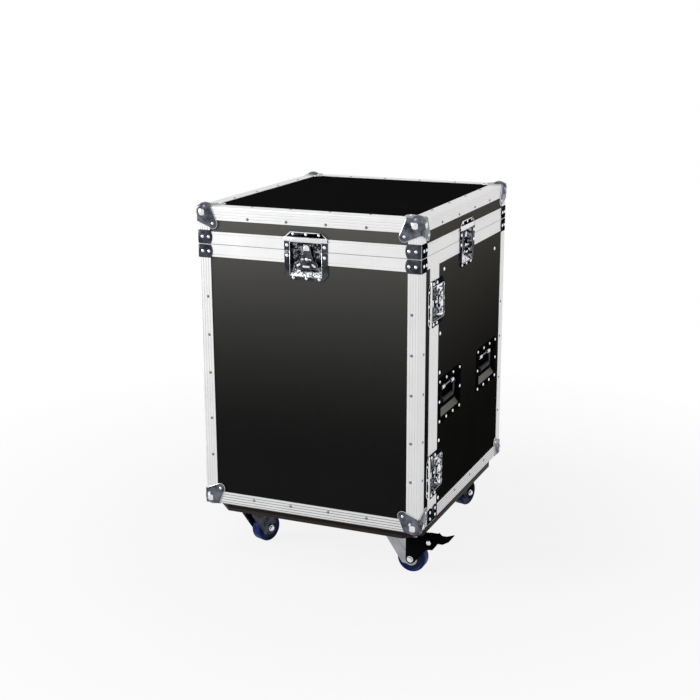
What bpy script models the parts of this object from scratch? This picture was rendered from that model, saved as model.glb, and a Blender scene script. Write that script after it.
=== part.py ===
"""Combination rack case on castors.

A plywood carcass with riveted aluminium edges carries sloped mixer rails at the top and upright rack
rails at the front. The lid lifts off, the front cover pulls off, and eight butterfly latches hold them.
The origin is on the floor under the middle of the case, +Z is up and the front cover faces -Y.
"""
import math

import bmesh
import bpy
from mathutils import Matrix, Vector

# Case, in metres
CASE_WIDTH = 0.515
CASE_DEPTH = 0.584
CASE_HEIGHT = 0.679
LID_HEIGHT = 0.082
COVER_DEPTH = 0.082
PLY = 0.009
CLEARANCE = 0.0003
SEAM_GAP = 0.0005

# Aluminium edges and closing profiles
ANGLE_LEG = 0.0295
ANGLE_WALL = 0.0014
CLOSING_LEG = 0.0273
CLOSING_INNER_LEG = 0.012
CLOSING_WEB = 0.002
TONGUE_HEIGHT = 0.005
TONGUE_WIDTH = 0.003
GROOVE_SIDE_GAP = 0.0006
BRACE_LENGTH = 0.032
BRACE_HEIGHT = 0.025
BRACE_SEAM_INSET = 0.002
BRACE_WALL = 0.0012

# Ball corners
BALL_RADIUS = 0.018
BALL_INSET = 0.011
PETAL_WALL = 0.0015
PETAL_RIVET_INSET = 0.037
PETAL_TIP_RADIUS = 0.012
PETAL_ROOT = 0.034
BALL_CUT_SHARE = 0.9

# Butterfly latches
LATCH_WIDTH = 0.100
LATCH_LOWER_REACH = 0.045
LATCH_UPPER_REACH = 0.058
LATCH_CHAMFER = 0.012
LATCH_NOSE_WIDTH = 0.074
LATCH_NOSE_HEIGHT = 0.011
LATCH_PLATE = 0.0012
LATCH_AXIS_TO_SEAM = 0.018
RECESS_WIDTH = 0.073
RECESS_CORNER = 0.003
RECESS_LOWER_SLOPE = 0.013
RECESS_UPPER_SLOPE = 0.003
RECESS_DEPTH = 0.0096
RECESS_WALL = 0.001
PAN_HOLE_GAP = 0.002
HOOK_REACH = 0.031
HOOK_WIDTH = 0.017
HOOK_THICKNESS = 0.002
CATCH_HEIGHT = 0.004
CATCH_DEPTH = 0.0055
CATCH_WIDTH = 0.018
ROTOR_RADIUS = 0.014
ROTOR_HUB_RADIUS = 0.0105
WING_THICKNESS = 0.0022
WING_SPAN = 0.054
WING_LENGTH = 0.023
KNUCKLE_RADIUS = 0.0017
KNUCKLE_LENGTH = 0.0195
KNUCKLE_BORE = 0.0013
WING_PIN_RADIUS = 0.001
EAR_WALL = 0.002
COVER_LATCH_INSET = 0.1075

# Recessed handles
HANDLE_HEIGHT = 0.262
HANDLE_FRONT_INSET = 0.1085
HANDLE_REAR_INSET = 0.1245
HANDLE_PLATE_WIDTH = 0.152
HANDLE_PLATE_HEIGHT = 0.104
HANDLE_PLATE_WALL = 0.0012
HANDLE_MOUTH_WIDTH = 0.120
HANDLE_MOUTH_HEIGHT = 0.074
HANDLE_DISH_DEPTH = 0.016
HANDLE_SIDE_SLOPE = 0.009
HANDLE_UPPER_SLOPE = 0.006
HANDLE_LOWER_SLOPE = 0.025
HANDLE_CORNER = 0.010
HANDLE_DISH_CORNER = 0.006
BAIL_ROD_RADIUS = 0.0033
BAIL_GRIP_RADIUS = 0.0055
BAIL_WIDTH = 0.088
BAIL_DROP = 0.031
BAIL_PIVOT_HEIGHT = 0.024
BAIL_PIVOT_DEPTH = 0.0075
BAIL_BEND_RADIUS = 0.0045
BAIL_GRIP_LENGTH = 0.066
BAIL_EAR_WALL = 0.003
BAIL_EAR_HEIGHT = 0.010

# Rack rails
RACK_UNIT = 0.04445
RACK_HOLE = 0.0095
RACK_HOLE_OFFSETS = (0.00635, 0.022225, 0.0381)
RACK_HOLE_INSET = 0.00755
RAIL_WIDTH = 0.0215
RAIL_WALL = 0.002
RAIL_END_GAP = 0.003
FRONT_RAIL_SETBACK = 0.028
FRONT_RAIL_SIDE = 0.018
TOP_RAIL_SIDE = 0.019
TOP_RAIL_DROP = 0.0305
TOP_RAIL_SLOPE = math.radians(2.8)
TOP_RAIL_SETBACK = 0.019
TOP_RAIL_REAR_GAP = 0.028

# Castor board and castors
BOARD_THICKNESS = 0.022
BOARD_SIDE_INSET = 0.008
BOARD_FRONT_INSET = 0.019
BOARD_CHAMFER = 0.036
CASTOR_HEIGHT = 0.1022
CASTOR_SIDE_INSET = 0.077
CASTOR_FRONT_INSET = 0.0935
CASTOR_PLATE_LENGTH = 0.092
CASTOR_PLATE_WIDTH = 0.078
CASTOR_PLATE_WALL = 0.003
CASTOR_PLATE_CORNER = 0.010
CASTOR_TRAIL = 0.0305
WHEEL_DIAMETER = 0.065
WHEEL_TREAD = 0.028
WHEEL_HUB_RADIUS = 0.0115
WHEEL_RIM_RADIUS = 0.0235
WHEEL_SIDE_DISH = 0.003
WHEEL_TREAD_CORNER = 0.003
AXLE_RADIUS = 0.005
AXLE_HEAD_RADIUS = 0.008
AXLE_HEAD = 0.005
FORK_WALL = 0.003
FORK_HUB_GAP = 0.0004
FORK_CROWN_RADIUS = 0.034
FORK_CROWN_THICKNESS = 0.006
FORK_HEAD_RADIUS = 0.026
FORK_HEAD_HEIGHT = 0.008
FORK_LEG_FRONT = 0.027
FORK_LEG_BACK = 0.046
FORK_SHOULDER = 0.008
FORK_FOOT_RADIUS = 0.0155
FORK_TOE_REACH = 0.020
FORK_TOE_DROP = 0.011
KINGPIN_RADIUS = 0.0055
KINGPIN_GAP = 0.0003

# Brake pedals
PEDAL_PIVOT_REACH = 0.073
PEDAL_PIVOT_HEIGHT = 0.078
PEDAL_PIN_RADIUS = 0.0035
PEDAL_PIN_HEAD = 0.006
PEDAL_BORE = 0.0038
PEDAL_CHEEK = 0.002
PEDAL_CHEEK_RADIUS = 0.008
CHEEK_FOOT_RADIUS = 0.011
PEDAL_WIDTH = 0.028
PEDAL_WALL = 0.0025
PEDAL_RISE = 0.011
PEDAL_REACH = 0.047
TREAD_START = 0.0115
TREAD_WIDTH = 0.040
TREAD_WALL = 0.0035
TREAD_DIP = 0.0065
SHOE_DROP = 0.0235
SHOE_REACH = 0.016
HEEL_BACK = 0.007

# Places worked out from the sizes above
BOX_BOTTOM = CASTOR_HEIGHT + CLEARANCE + BOARD_THICKNESS + CLEARANCE + PETAL_WALL
BOX_TOP = BOX_BOTTOM + CASE_HEIGHT
LID_SEAM = BOX_TOP - LID_HEIGHT
HALF_WIDTH = CASE_WIDTH / 2
HALF_DEPTH = CASE_DEPTH / 2
COVER_SEAM = -HALF_DEPTH + COVER_DEPTH
PANEL_SET = ANGLE_WALL + CLEARANCE
PANEL_INSIDE = PANEL_SET + PLY
CLOSING_INSIDE = PANEL_INSIDE + CLEARANCE
CLOSING_WIDTH = CLOSING_INSIDE + ANGLE_WALL
TONGUE_START = (CLOSING_WIDTH - TONGUE_WIDTH) / 2
GROOVE_DEPTH = TONGUE_HEIGHT + GROOVE_SIDE_GAP
GROOVE_START = TONGUE_START - GROOVE_SIDE_GAP
GROOVE_END = TONGUE_START + TONGUE_WIDTH + GROOVE_SIDE_GAP
GROOVE_WEB = GROOVE_DEPTH + CLOSING_WEB
POCKET_DEPTH = RECESS_DEPTH + RECESS_WALL + CLEARANCE
MALE_EDGE = CLOSING_WEB + CLEARANCE
FEMALE_EDGE = GROOVE_WEB + CLEARANCE
CLOSING_END = SEAM_GAP / 2 + CLOSING_LEG + CLEARANCE
SHELL_SIDE = HALF_WIDTH - PANEL_SET
SHELL_BACK = HALF_DEPTH - PANEL_SET
SHELL_FLOOR = BOX_BOTTOM + PANEL_SET
WHEEL_RADIUS = WHEEL_DIAMETER / 2
HUB_HALF = WHEEL_TREAD / 2 + FORK_HUB_GAP
LEG_INSIDE = HUB_HALF + CLEARANCE
LEG_OUTSIDE = LEG_INSIDE + FORK_WALL

RIGHT = Vector((1, 0, 0))
LEFT = Vector((-1, 0, 0))
FRONT = Vector((0, -1, 0))
REAR = Vector((0, 1, 0))
UP = Vector((0, 0, 1))
DOWN = Vector((0, 0, -1))

for old in list(bpy.context.scene.objects):
    bpy.data.objects.remove(old, do_unlink=True)

parts = bpy.data.collections.new("combination_rack_case")
bpy.context.scene.collection.children.link(parts)


def finish(name, colour, roughness, metallic=0.0):
    material = bpy.data.materials.new(name)
    material.use_nodes = True
    shader = material.node_tree.nodes["Principled BSDF"]
    shader.inputs["Base Color"].default_value = (*colour, 1.0)
    shader.inputs["Roughness"].default_value = roughness
    shader.inputs["Metallic"].default_value = metallic
    return material


LAMINATE = finish("black_laminate_ply", (0.020, 0.020, 0.019), 0.5)
ALUMINIUM = finish("edge_aluminium", (0.78, 0.78, 0.80), 0.35, 1.0)
ZINC = finish("zinc_plated_steel", (0.50, 0.51, 0.53), 0.4, 1.0)
CHROME = finish("chromed_steel", (0.72, 0.73, 0.75), 0.15, 1.0)
DISH_BLACK = finish("black_dish_steel", (0.03, 0.03, 0.03), 0.45, 0.6)
GRIP_BLACK = finish("black_grip", (0.02, 0.02, 0.02), 0.6)
RAIL_STEEL = finish("zinc_rail_steel", (0.45, 0.45, 0.46), 0.4, 1.0)
BOARD_WOOD = finish("painted_castor_board", (0.025, 0.023, 0.020), 0.6)
TYRE_BLUE = finish("blue_elastic_rubber", (0.010, 0.030, 0.140), 0.5)
PEDAL_BLACK = finish("black_painted_steel", (0.018, 0.018, 0.018), 0.45)


# Mesh helpers: solids are started from primitives or outlines and joined by Booleans

def mesh_object(name, bm, material=None):
    bmesh.ops.recalc_face_normals(bm, faces=bm.faces)
    mesh = bpy.data.meshes.new(name)
    bm.to_mesh(mesh)
    bm.free()
    obj = bpy.data.objects.new(name, mesh)
    parts.objects.link(obj)
    if material:
        mesh.materials.append(material)
    return obj


def bake(obj):
    """Replace an object's mesh by the one its modifiers make."""
    depsgraph = bpy.context.evaluated_depsgraph_get()
    mesh = bpy.data.meshes.new_from_object(obj.evaluated_get(depsgraph))
    obj.modifiers.clear()
    obj.data = mesh
    return obj


def combine(obj, tool, operation):
    modifier = obj.modifiers.new(operation.lower(), "BOOLEAN")
    modifier.operation = operation
    modifier.object = tool
    modifier.solver = "EXACT"
    bake(obj)
    bpy.data.objects.remove(tool, do_unlink=True)
    return obj


def join(obj, tool):
    return combine(obj, tool, "UNION")


def cut(obj, tool):
    return combine(obj, tool, "DIFFERENCE")


def place(obj, matrix):
    """Move an object's mesh by a matrix, keeping its faces outwards."""
    obj.data.transform(matrix)
    if matrix.determinant() < 0:
        obj.data.flip_normals()
    return obj


def copy_of(obj, matrix):
    clone = bpy.data.objects.new(obj.name, obj.data.copy())
    parts.objects.link(clone)
    return place(clone, matrix)


def move_origin(obj, pivot):
    """Put a moving piece's origin on its joint axis, the mesh staying where it is."""
    obj.data.transform(Matrix.Translation(-Vector(pivot)))
    obj.location = pivot


def box_surface(low, high):
    """Bmesh of a closed box, six outward faces."""
    bm = bmesh.new()
    bmesh.ops.create_cube(bm, size=1.0)
    bmesh.ops.scale(bm, vec=Vector(high) - Vector(low), verts=bm.verts)
    bmesh.ops.translate(bm, vec=(Vector(high) + Vector(low)) / 2, verts=bm.verts)
    bm.normal_update()
    return bm


def box(low, high, name="box", material=None):
    return mesh_object(name, box_surface(low, high), material)


def cylinder(radius, low, high, segments, name="cylinder", material=None, top_radius=None):
    """Upright cylinder on the local Z axis."""
    bm = bmesh.new()
    upper = radius if top_radius is None else top_radius
    bmesh.ops.create_cone(bm, cap_ends=True, segments=segments, radius1=radius, radius2=upper,
                          depth=high - low)
    bmesh.ops.translate(bm, vec=(0, 0, (low + high) / 2), verts=bm.verts)
    return mesh_object(name, bm, material)


def prism(outline, low, high, name="prism", material=None):
    """Outline in local X and Y, extruded from one height to another."""
    bm = bmesh.new()
    face = bm.faces.new([bm.verts.new((x, y, low)) for x, y in outline])
    grown = bmesh.ops.extrude_face_region(bm, geom=[face])
    lifted = [item for item in grown["geom"] if isinstance(item, bmesh.types.BMVert)]
    bmesh.ops.translate(bm, vec=(0, 0, high - low), verts=lifted)
    return mesh_object(name, bm, material)


def loft(loops, closed, name="loft", material=None):
    """Carry one loop of points to the next; a closed path meets its start, an open one is capped."""
    bm = bmesh.new()
    verts = [bm.verts.new(point) for point in loops[0]]
    count = len(verts)
    for index in range(count):
        bm.edges.new((verts[index], verts[(index + 1) % count]))
    first = verts
    for points in list(loops[1:]) + ([loops[0]] if closed else []):
        edges = [bm.edges.get((verts[i], verts[(i + 1) % count])) for i in range(count)]
        grown = bmesh.ops.extrude_edge_only(bm, edges=edges)["geom"]
        fresh = {item for item in grown if isinstance(item, bmesh.types.BMVert)}
        verts = [next(e.other_vert(v) for e in v.link_edges if e.other_vert(v) in fresh) for v in verts]
        for vert, point in zip(verts, points):
            vert.co = point
    if closed:
        bmesh.ops.remove_doubles(bm, verts=bm.verts, dist=1e-6)
    else:
        bm.faces.new(first)
        bm.faces.new(verts)
    return mesh_object(name, bm, material)


def rounded_rectangle(width, height, radius, level, steps=3):
    points = []
    for corner in range(4):
        centre_x = (width / 2 - radius) * (1 if corner in (0, 3) else -1)
        centre_y = (height / 2 - radius) * (1 if corner in (0, 1) else -1)
        for step in range(steps + 1):
            angle = math.pi / 2 * (corner + step / steps)
            x = centre_x + radius * math.cos(angle)
            y = centre_y + radius * math.sin(angle)
            points.append((x, y, level))
    return points


def arc(centre, radius, start, end, steps):
    """Points on an arc, angles in degrees."""
    points = []
    for step in range(steps + 1):
        angle = math.radians(start + (end - start) * step / steps)
        points.append((centre[0] + radius * math.cos(angle), centre[1] + radius * math.sin(angle)))
    return points


def turned(profile, segments, name="turned", material=None):
    """Profile of radius and height points, closed on itself, turned round the local Z axis."""
    bm = bmesh.new()
    verts = [bm.verts.new((radius, 0, height)) for radius, height in profile]
    edges = [bm.edges.new((verts[i], verts[(i + 1) % len(verts)])) for i in range(len(verts))]
    bmesh.ops.spin(bm, geom=verts + edges, cent=(0, 0, 0), axis=(0, 0, 1), angle=math.tau,
                   steps=segments, use_merge=True)
    bmesh.ops.remove_doubles(bm, verts=bm.verts, dist=1e-6)
    return mesh_object(name, bm, material)


def frame_matrix(origin, across, along, outward):
    """Matrix that takes local X, Y and Z to the three given directions at an origin."""
    columns = [Vector(across), Vector(along), Vector(outward), Vector(origin)]
    return Matrix([[column[row] for column in columns] for row in range(3)] + [[0, 0, 0, 1]])


# Plywood shells

def sheet_object(name, bm, wall, material):
    """Open surface with outward faces, given a wall on its inner side."""
    mesh = bpy.data.meshes.new(name)
    bm.to_mesh(mesh)
    bm.free()
    mesh.materials.append(material)
    obj = bpy.data.objects.new(name, mesh)
    parts.objects.link(obj)
    solidify = obj.modifiers.new("wall", "SOLIDIFY")
    solidify.thickness = wall
    solidify.offset = -1
    solidify.use_even_offset = True
    return bake(obj)


def open_box(name, low, high, open_sides):
    """Box of plywood panels without the sides that are named by their outward direction."""
    bm = box_surface(low, high)
    gone = [face for face in bm.faces for side in open_sides if face.normal.dot(side) > 0.9]
    bmesh.ops.delete(bm, geom=gone, context="FACES")
    return sheet_object(name, bm, PLY, LAMINATE)


lid_shell = open_box("lid_shell", (-SHELL_SIDE, -SHELL_BACK, LID_SEAM + SEAM_GAP / 2 + FEMALE_EDGE),
                     (SHELL_SIDE, SHELL_BACK, BOX_TOP - PANEL_SET), [DOWN])
cover_shell = open_box("cover_shell", (-SHELL_SIDE, -SHELL_BACK, SHELL_FLOOR),
                       (SHELL_SIDE, COVER_SEAM - SEAM_GAP / 2 - FEMALE_EDGE,
                        LID_SEAM - SEAM_GAP / 2 - FEMALE_EDGE), [REAR, UP])
body_shell = open_box("body_shell", (-SHELL_SIDE, COVER_SEAM + SEAM_GAP / 2 + MALE_EDGE, SHELL_FLOOR),
                      (SHELL_SIDE, SHELL_BACK, LID_SEAM - SEAM_GAP / 2 - MALE_EDGE), [FRONT, UP])


# Aluminium angles on the outer edges

def angle_trim(name, low, high, edges):
    """Angles along box edges, each edge given by the outward directions of its two faces."""
    low = Vector(low)
    high = Vector(high)
    bm = box_surface(low, high)
    for axis, direction in enumerate((RIGHT, REAR, UP)):
        for level in (low[axis] + ANGLE_LEG, high[axis] - ANGLE_LEG):
            bmesh.ops.bisect_plane(bm, geom=bm.verts[:] + bm.edges[:] + bm.faces[:],
                                   plane_co=direction * level, plane_no=direction)
    bm.normal_update()

    def depth_from(side, point):
        corner = Vector([high[i] if side[i] > 0 else low[i] for i in range(3)])
        return (corner - point).dot(side)

    def covered(face):
        centre = face.calc_center_median()
        return any(face.normal.dot(own) > 0.9 and depth_from(other, centre) < ANGLE_LEG
                   for pair in edges for own, other in (pair, pair[::-1]))

    bmesh.ops.delete(bm, geom=[face for face in bm.faces if not covered(face)], context="FACES")
    return sheet_object(name, bm, ANGLE_WALL, ALUMINIUM)


lid_edge_trim = angle_trim(
    "lid_edge_trim", (-HALF_WIDTH, -HALF_DEPTH, LID_SEAM + CLOSING_END),
    (HALF_WIDTH, HALF_DEPTH, BOX_TOP),
    [(UP, RIGHT), (UP, LEFT), (UP, FRONT), (UP, REAR),
     (RIGHT, FRONT), (LEFT, FRONT), (RIGHT, REAR), (LEFT, REAR)])
cover_edge_trim = angle_trim(
    "cover_edge_trim", (-HALF_WIDTH, -HALF_DEPTH, BOX_BOTTOM),
    (HALF_WIDTH, COVER_SEAM - CLOSING_END, LID_SEAM - CLOSING_END),
    [(FRONT, RIGHT), (FRONT, LEFT), (FRONT, DOWN), (RIGHT, DOWN), (LEFT, DOWN)])
body_edge_trim = angle_trim(
    "body_edge_trim", (-HALF_WIDTH, COVER_SEAM + CLOSING_END, BOX_BOTTOM),
    (HALF_WIDTH, HALF_DEPTH, LID_SEAM - CLOSING_END),
    [(REAR, RIGHT), (REAR, LEFT), (REAR, DOWN), (RIGHT, DOWN), (LEFT, DOWN)])


# Ball corners, drawn for a corner at the local origin with the case towards -X, -Y and -Z

def ball_corner():
    """Three riveted petals and the part of the ball that stands outside the angles."""
    outline = [(0, 0), (0, -PETAL_ROOT)]
    outline += arc((-PETAL_RIVET_INSET, -PETAL_RIVET_INSET), PETAL_TIP_RADIUS, -45, -225, 5)
    outline += [(-PETAL_ROOT, 0)]
    solid = prism(outline, -ANGLE_WALL / 2, PETAL_WALL, "ball_corner")
    centre = (0, 0, 0)
    petal = copy_of(solid, Matrix())
    join(solid, copy_of(petal, frame_matrix(centre, REAR, UP, RIGHT)))
    join(solid, place(petal, frame_matrix(centre, UP, RIGHT, REAR)))
    bm = bmesh.new()
    bmesh.ops.create_uvsphere(bm, u_segments=12, v_segments=8, radius=BALL_RADIUS)
    bmesh.ops.translate(bm, vec=Vector((-BALL_INSET, -BALL_INSET, -BALL_INSET)), verts=bm.verts)
    join(solid, mesh_object("ball", bm))
    inside = -ANGLE_WALL * BALL_CUT_SHARE
    reach = -2 * (BALL_RADIUS + BALL_INSET)
    return cut(solid, box((reach, reach, reach), (inside, inside, inside)))


corner_solid = ball_corner()
BALL_CORNERS = [(lid_edge_trim, sides, ends, 1) for sides in (1, -1) for ends in (1, -1)]
BALL_CORNERS += [(cover_edge_trim, sides, -1, -1) for sides in (1, -1)]
BALL_CORNERS += [(body_edge_trim, sides, 1, -1) for sides in (1, -1)]
for trim, side, end, level in BALL_CORNERS:
    spot = Vector((side * HALF_WIDTH, end * HALF_DEPTH, BOX_TOP if level > 0 else BOX_BOTTOM))
    matrix = Matrix.Translation(spot) @ Matrix.Diagonal((side, end, level, 1))
    join(trim, copy_of(corner_solid, matrix))
bpy.data.objects.remove(corner_solid, do_unlink=True)


# Closing profiles round the lid, the cover and the body

def male_section():
    """Distance inwards and away from the seam; the tongue stands past the seam."""
    tongue_end = TONGUE_START + TONGUE_WIDTH
    return [(0, 0), (0, CLOSING_LEG), (ANGLE_WALL, CLOSING_LEG), (ANGLE_WALL, CLOSING_WEB),
            (CLOSING_INSIDE, CLOSING_WEB), (CLOSING_INSIDE, CLOSING_INNER_LEG),
            (CLOSING_WIDTH, CLOSING_INNER_LEG), (CLOSING_WIDTH, 0), (tongue_end, 0),
            (tongue_end, -TONGUE_HEIGHT), (TONGUE_START, -TONGUE_HEIGHT), (TONGUE_START, 0)]


def female_section():
    return [(0, 0), (0, CLOSING_LEG), (ANGLE_WALL, CLOSING_LEG), (ANGLE_WALL, GROOVE_WEB),
            (CLOSING_INSIDE, GROOVE_WEB), (CLOSING_INSIDE, CLOSING_INNER_LEG),
            (CLOSING_WIDTH, CLOSING_INNER_LEG), (CLOSING_WIDTH, 0), (GROOVE_END, 0),
            (GROOVE_END, GROOVE_DEPTH), (GROOVE_START, GROOVE_DEPTH), (GROOVE_START, 0)]


def closing_frame(name, section, corners):
    """Each mitred corner is a place on the seam, the way inwards and the way along the panel."""
    loops = [[spot + inward * across + along * depth for across, depth in section]
             for spot, inward, along in corners]
    return loft(loops, True, name, ALUMINIUM)


def corner_list(pairs):
    """Corners for the right side, then the same ones mirrored for the left side in reverse order."""
    mirror = Matrix.Diagonal((-1, 1, 1))
    return pairs + [tuple(mirror @ vector for vector in pair) for pair in reversed(pairs)]


LID_EDGE = LID_SEAM + SEAM_GAP / 2
BODY_TOP = LID_SEAM - SEAM_GAP / 2
BODY_FRONT = COVER_SEAM + SEAM_GAP / 2
COVER_BACK = COVER_SEAM - SEAM_GAP / 2

lid_closing_frame = closing_frame("lid_closing_frame", female_section(), corner_list([
    (Vector((HALF_WIDTH, -HALF_DEPTH, LID_EDGE)), LEFT + REAR, UP),
    (Vector((HALF_WIDTH, HALF_DEPTH, LID_EDGE)), LEFT + FRONT, UP)]))
cover_closing_frame = closing_frame("cover_closing_frame", female_section(), corner_list([
    (Vector((HALF_WIDTH, COVER_BACK, BOX_BOTTOM)), LEFT + UP, FRONT),
    (Vector((HALF_WIDTH, COVER_BACK, BODY_TOP)), LEFT, FRONT + DOWN),
    (Vector((HALF_WIDTH, -HALF_DEPTH, BODY_TOP)), LEFT + REAR, DOWN)]))
body_closing_frame = closing_frame("body_closing_frame", male_section(), corner_list([
    (Vector((HALF_WIDTH, BODY_FRONT, BOX_BOTTOM)), LEFT + UP, REAR),
    (Vector((HALF_WIDTH, BODY_FRONT, BODY_TOP)), LEFT, REAR + DOWN),
    (Vector((HALF_WIDTH, HALF_DEPTH, BODY_TOP)), LEFT + FRONT, DOWN)]))


def corner_brace(spot, first, second, along):
    """Steel brace over a corner of a closing profile, running a leg back on each of two faces."""
    leg = BRACE_LENGTH
    outer = BRACE_WALL
    skin = ANGLE_WALL / 2
    outline = [(outer, outer), (-leg, outer), (-leg, -skin), (-skin, -skin), (-skin, -leg), (outer, -leg)]
    solid = prism(outline, BRACE_SEAM_INSET, BRACE_SEAM_INSET + BRACE_HEIGHT, "brace")
    return place(solid, frame_matrix(spot, first, second, along))


for side in (RIGHT, LEFT):
    edge = side * HALF_WIDTH
    for end in (FRONT, REAR):
        join(lid_closing_frame, corner_brace(edge + end * HALF_DEPTH + UP * LID_EDGE, side, end, UP))
    join(cover_closing_frame, corner_brace(edge + FRONT * HALF_DEPTH + UP * BODY_TOP, side, FRONT, DOWN))
    join(body_closing_frame, corner_brace(edge + REAR * HALF_DEPTH + UP * BODY_TOP, side, REAR, DOWN))
    join(cover_closing_frame, corner_brace(edge + REAR * COVER_BACK + UP * BOX_BOTTOM, side, DOWN, FRONT))
    join(body_closing_frame, corner_brace(edge + REAR * BODY_FRONT + UP * BOX_BOTTOM, side, DOWN, REAR))


# Butterfly latches, drawn with the rotor axis at the local origin, the seam along X, the striker
# towards +Y and the face of the case in the XY plane

SEAM_SIDE = LATCH_AXIS_TO_SEAM - SEAM_GAP / 2
STRIKER_SIDE = LATCH_AXIS_TO_SEAM + SEAM_GAP / 2
LEG_END = CLOSING_LEG + CLEARANCE
HALF_LATCH = LATCH_WIDTH / 2


def recess_outline(growth):
    """Rounded square round the rotor axis, widened by a wall; the upper corners come first."""
    size = RECESS_WIDTH + 2 * growth
    return [(x, y) for x, y, z in rounded_rectangle(size, size, RECESS_CORNER + growth, 0, 2)]


def pocket(growth, low, high):
    return prism(recess_outline(growth), low, high, "pocket")


def latch_recess():
    """The hollow of the pan, its lower side sloped so that a hand gets under the wing."""
    across = RECESS_WIDTH - 2 * RECESS_UPPER_SLOPE
    along = RECESS_WIDTH - RECESS_UPPER_SLOPE - RECESS_LOWER_SLOPE
    shift = (RECESS_LOWER_SLOPE - RECESS_UPPER_SLOPE) / 2
    floor = [(x, y + shift, z) for x, y, z in rounded_rectangle(across, along, RECESS_CORNER / 2,
                                                              -RECESS_DEPTH, 2)]
    mouth = [[(x, y, level) for x, y in recess_outline(0)] for level in (3 * LATCH_PLATE, 0)]
    return loft(mouth + [floor], False)


def latch_dish():
    """Riveted plate and the lower part of the pan, up to the seam."""
    chamfer = LATCH_CHAMFER
    low = -LATCH_LOWER_REACH
    joggle = SEAM_SIDE + SEAM_GAP / 2 - LEG_END - CLEARANCE
    plate = [(-HALF_LATCH, SEAM_SIDE), (-HALF_LATCH, low + chamfer), (chamfer - HALF_LATCH, low),
             (HALF_LATCH - chamfer, low), (HALF_LATCH, low + chamfer), (HALF_LATCH, SEAM_SIDE)]
    pad = [(-HALF_LATCH, joggle)] + plate[1:5] + [(HALF_LATCH, joggle)]
    solid = prism(plate, CLEARANCE, CLEARANCE + LATCH_PLATE, "latch_dish", CHROME)
    join(solid, prism(pad, CLEARANCE - PANEL_SET, CLEARANCE + LATCH_PLATE / 2))
    half = RECESS_WIDTH / 2 + RECESS_WALL
    pan = [(half, SEAM_SIDE), (-half, SEAM_SIDE)] + recess_outline(RECESS_WALL)[6:]
    join(solid, prism(pan, -RECESS_DEPTH - RECESS_WALL, CLEARANCE + LATCH_PLATE / 2))
    return cut(solid, latch_recess())


def latch_striker():
    """Nose plate and the upper part of the pan, before the pan is hollowed."""
    shoulder = LATCH_UPPER_REACH - LATCH_NOSE_HEIGHT
    nose = LATCH_NOSE_WIDTH / 2
    slope = HALF_LATCH - nose
    top = LATCH_UPPER_REACH
    panel = STRIKER_SIDE + LEG_END
    skin = ANGLE_WALL / 2
    plate = [(HALF_LATCH, STRIKER_SIDE), (HALF_LATCH, shoulder - slope / 2), (nose, shoulder), (nose, top),
             (-nose, top), (-nose, shoulder), (-HALF_LATCH, shoulder - slope / 2),
             (-HALF_LATCH, STRIKER_SIDE)]
    solid = prism(plate, -skin, LATCH_PLATE, "striker")
    join(solid, box((-nose, panel + CLEARANCE, CLEARANCE - PANEL_SET), (nose, top, skin)))
    half = RECESS_WIDTH / 2 + RECESS_WALL
    pan = [(-half, STRIKER_SIDE), (half, STRIKER_SIDE)] + recess_outline(RECESS_WALL)[:6]
    return join(solid, prism(pan, -RECESS_DEPTH - RECESS_WALL, LATCH_PLATE / 2))


def latch_catch():
    half = CATCH_WIDTH / 2
    low = HOOK_REACH - CATCH_DEPTH - CLEARANCE
    return box((-half, low, -RECESS_DEPTH - RECESS_WALL / 2),
               (half, low + CATCH_DEPTH, CATCH_HEIGHT - RECESS_DEPTH), "catch")


HOOK_LEVEL = CATCH_HEIGHT - RECESS_DEPTH + CLEARANCE
ROTOR_TOP = HOOK_LEVEL + HOOK_THICKNESS
KNUCKLE_LEVEL = ROTOR_TOP + CLEARANCE + KNUCKLE_RADIUS


def latch_cam():
    """Rotor with its hook and the two ears that carry the wing's pin."""
    half = HOOK_WIDTH / 2
    hook = [(half, 0)] + arc((0, HOOK_REACH - half), half, 0, 180, 6) + [(-half, 0)]
    solid = cylinder(ROTOR_HUB_RADIUS, -RECESS_DEPTH + CLEARANCE, ROTOR_TOP - HOOK_THICKNESS / 4, 12,
                     "latch_cam", CHROME)
    join(solid, cylinder(ROTOR_RADIUS, HOOK_LEVEL, ROTOR_TOP, 16))
    join(solid, prism(hook, HOOK_LEVEL + HOOK_THICKNESS / 8, ROTOR_TOP - HOOK_THICKNESS / 8))
    inner = KNUCKLE_LENGTH / 2 + CLEARANCE
    height = KNUCKLE_LEVEL + KNUCKLE_RADIUS
    for sign in (1, -1):
        low, high = sorted((sign * inner, sign * (inner + EAR_WALL)))
        join(solid, box((low, -KNUCKLE_RADIUS, HOOK_LEVEL + HOOK_THICKNESS / 2),
                        (high, KNUCKLE_RADIUS, height)))
    pin = cylinder(WING_PIN_RADIUS, -inner - EAR_WALL / 2, inner + EAR_WALL / 2, 8)
    return join(solid, place(pin, frame_matrix((0, 0, KNUCKLE_LEVEL), REAR, UP, RIGHT)))


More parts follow.
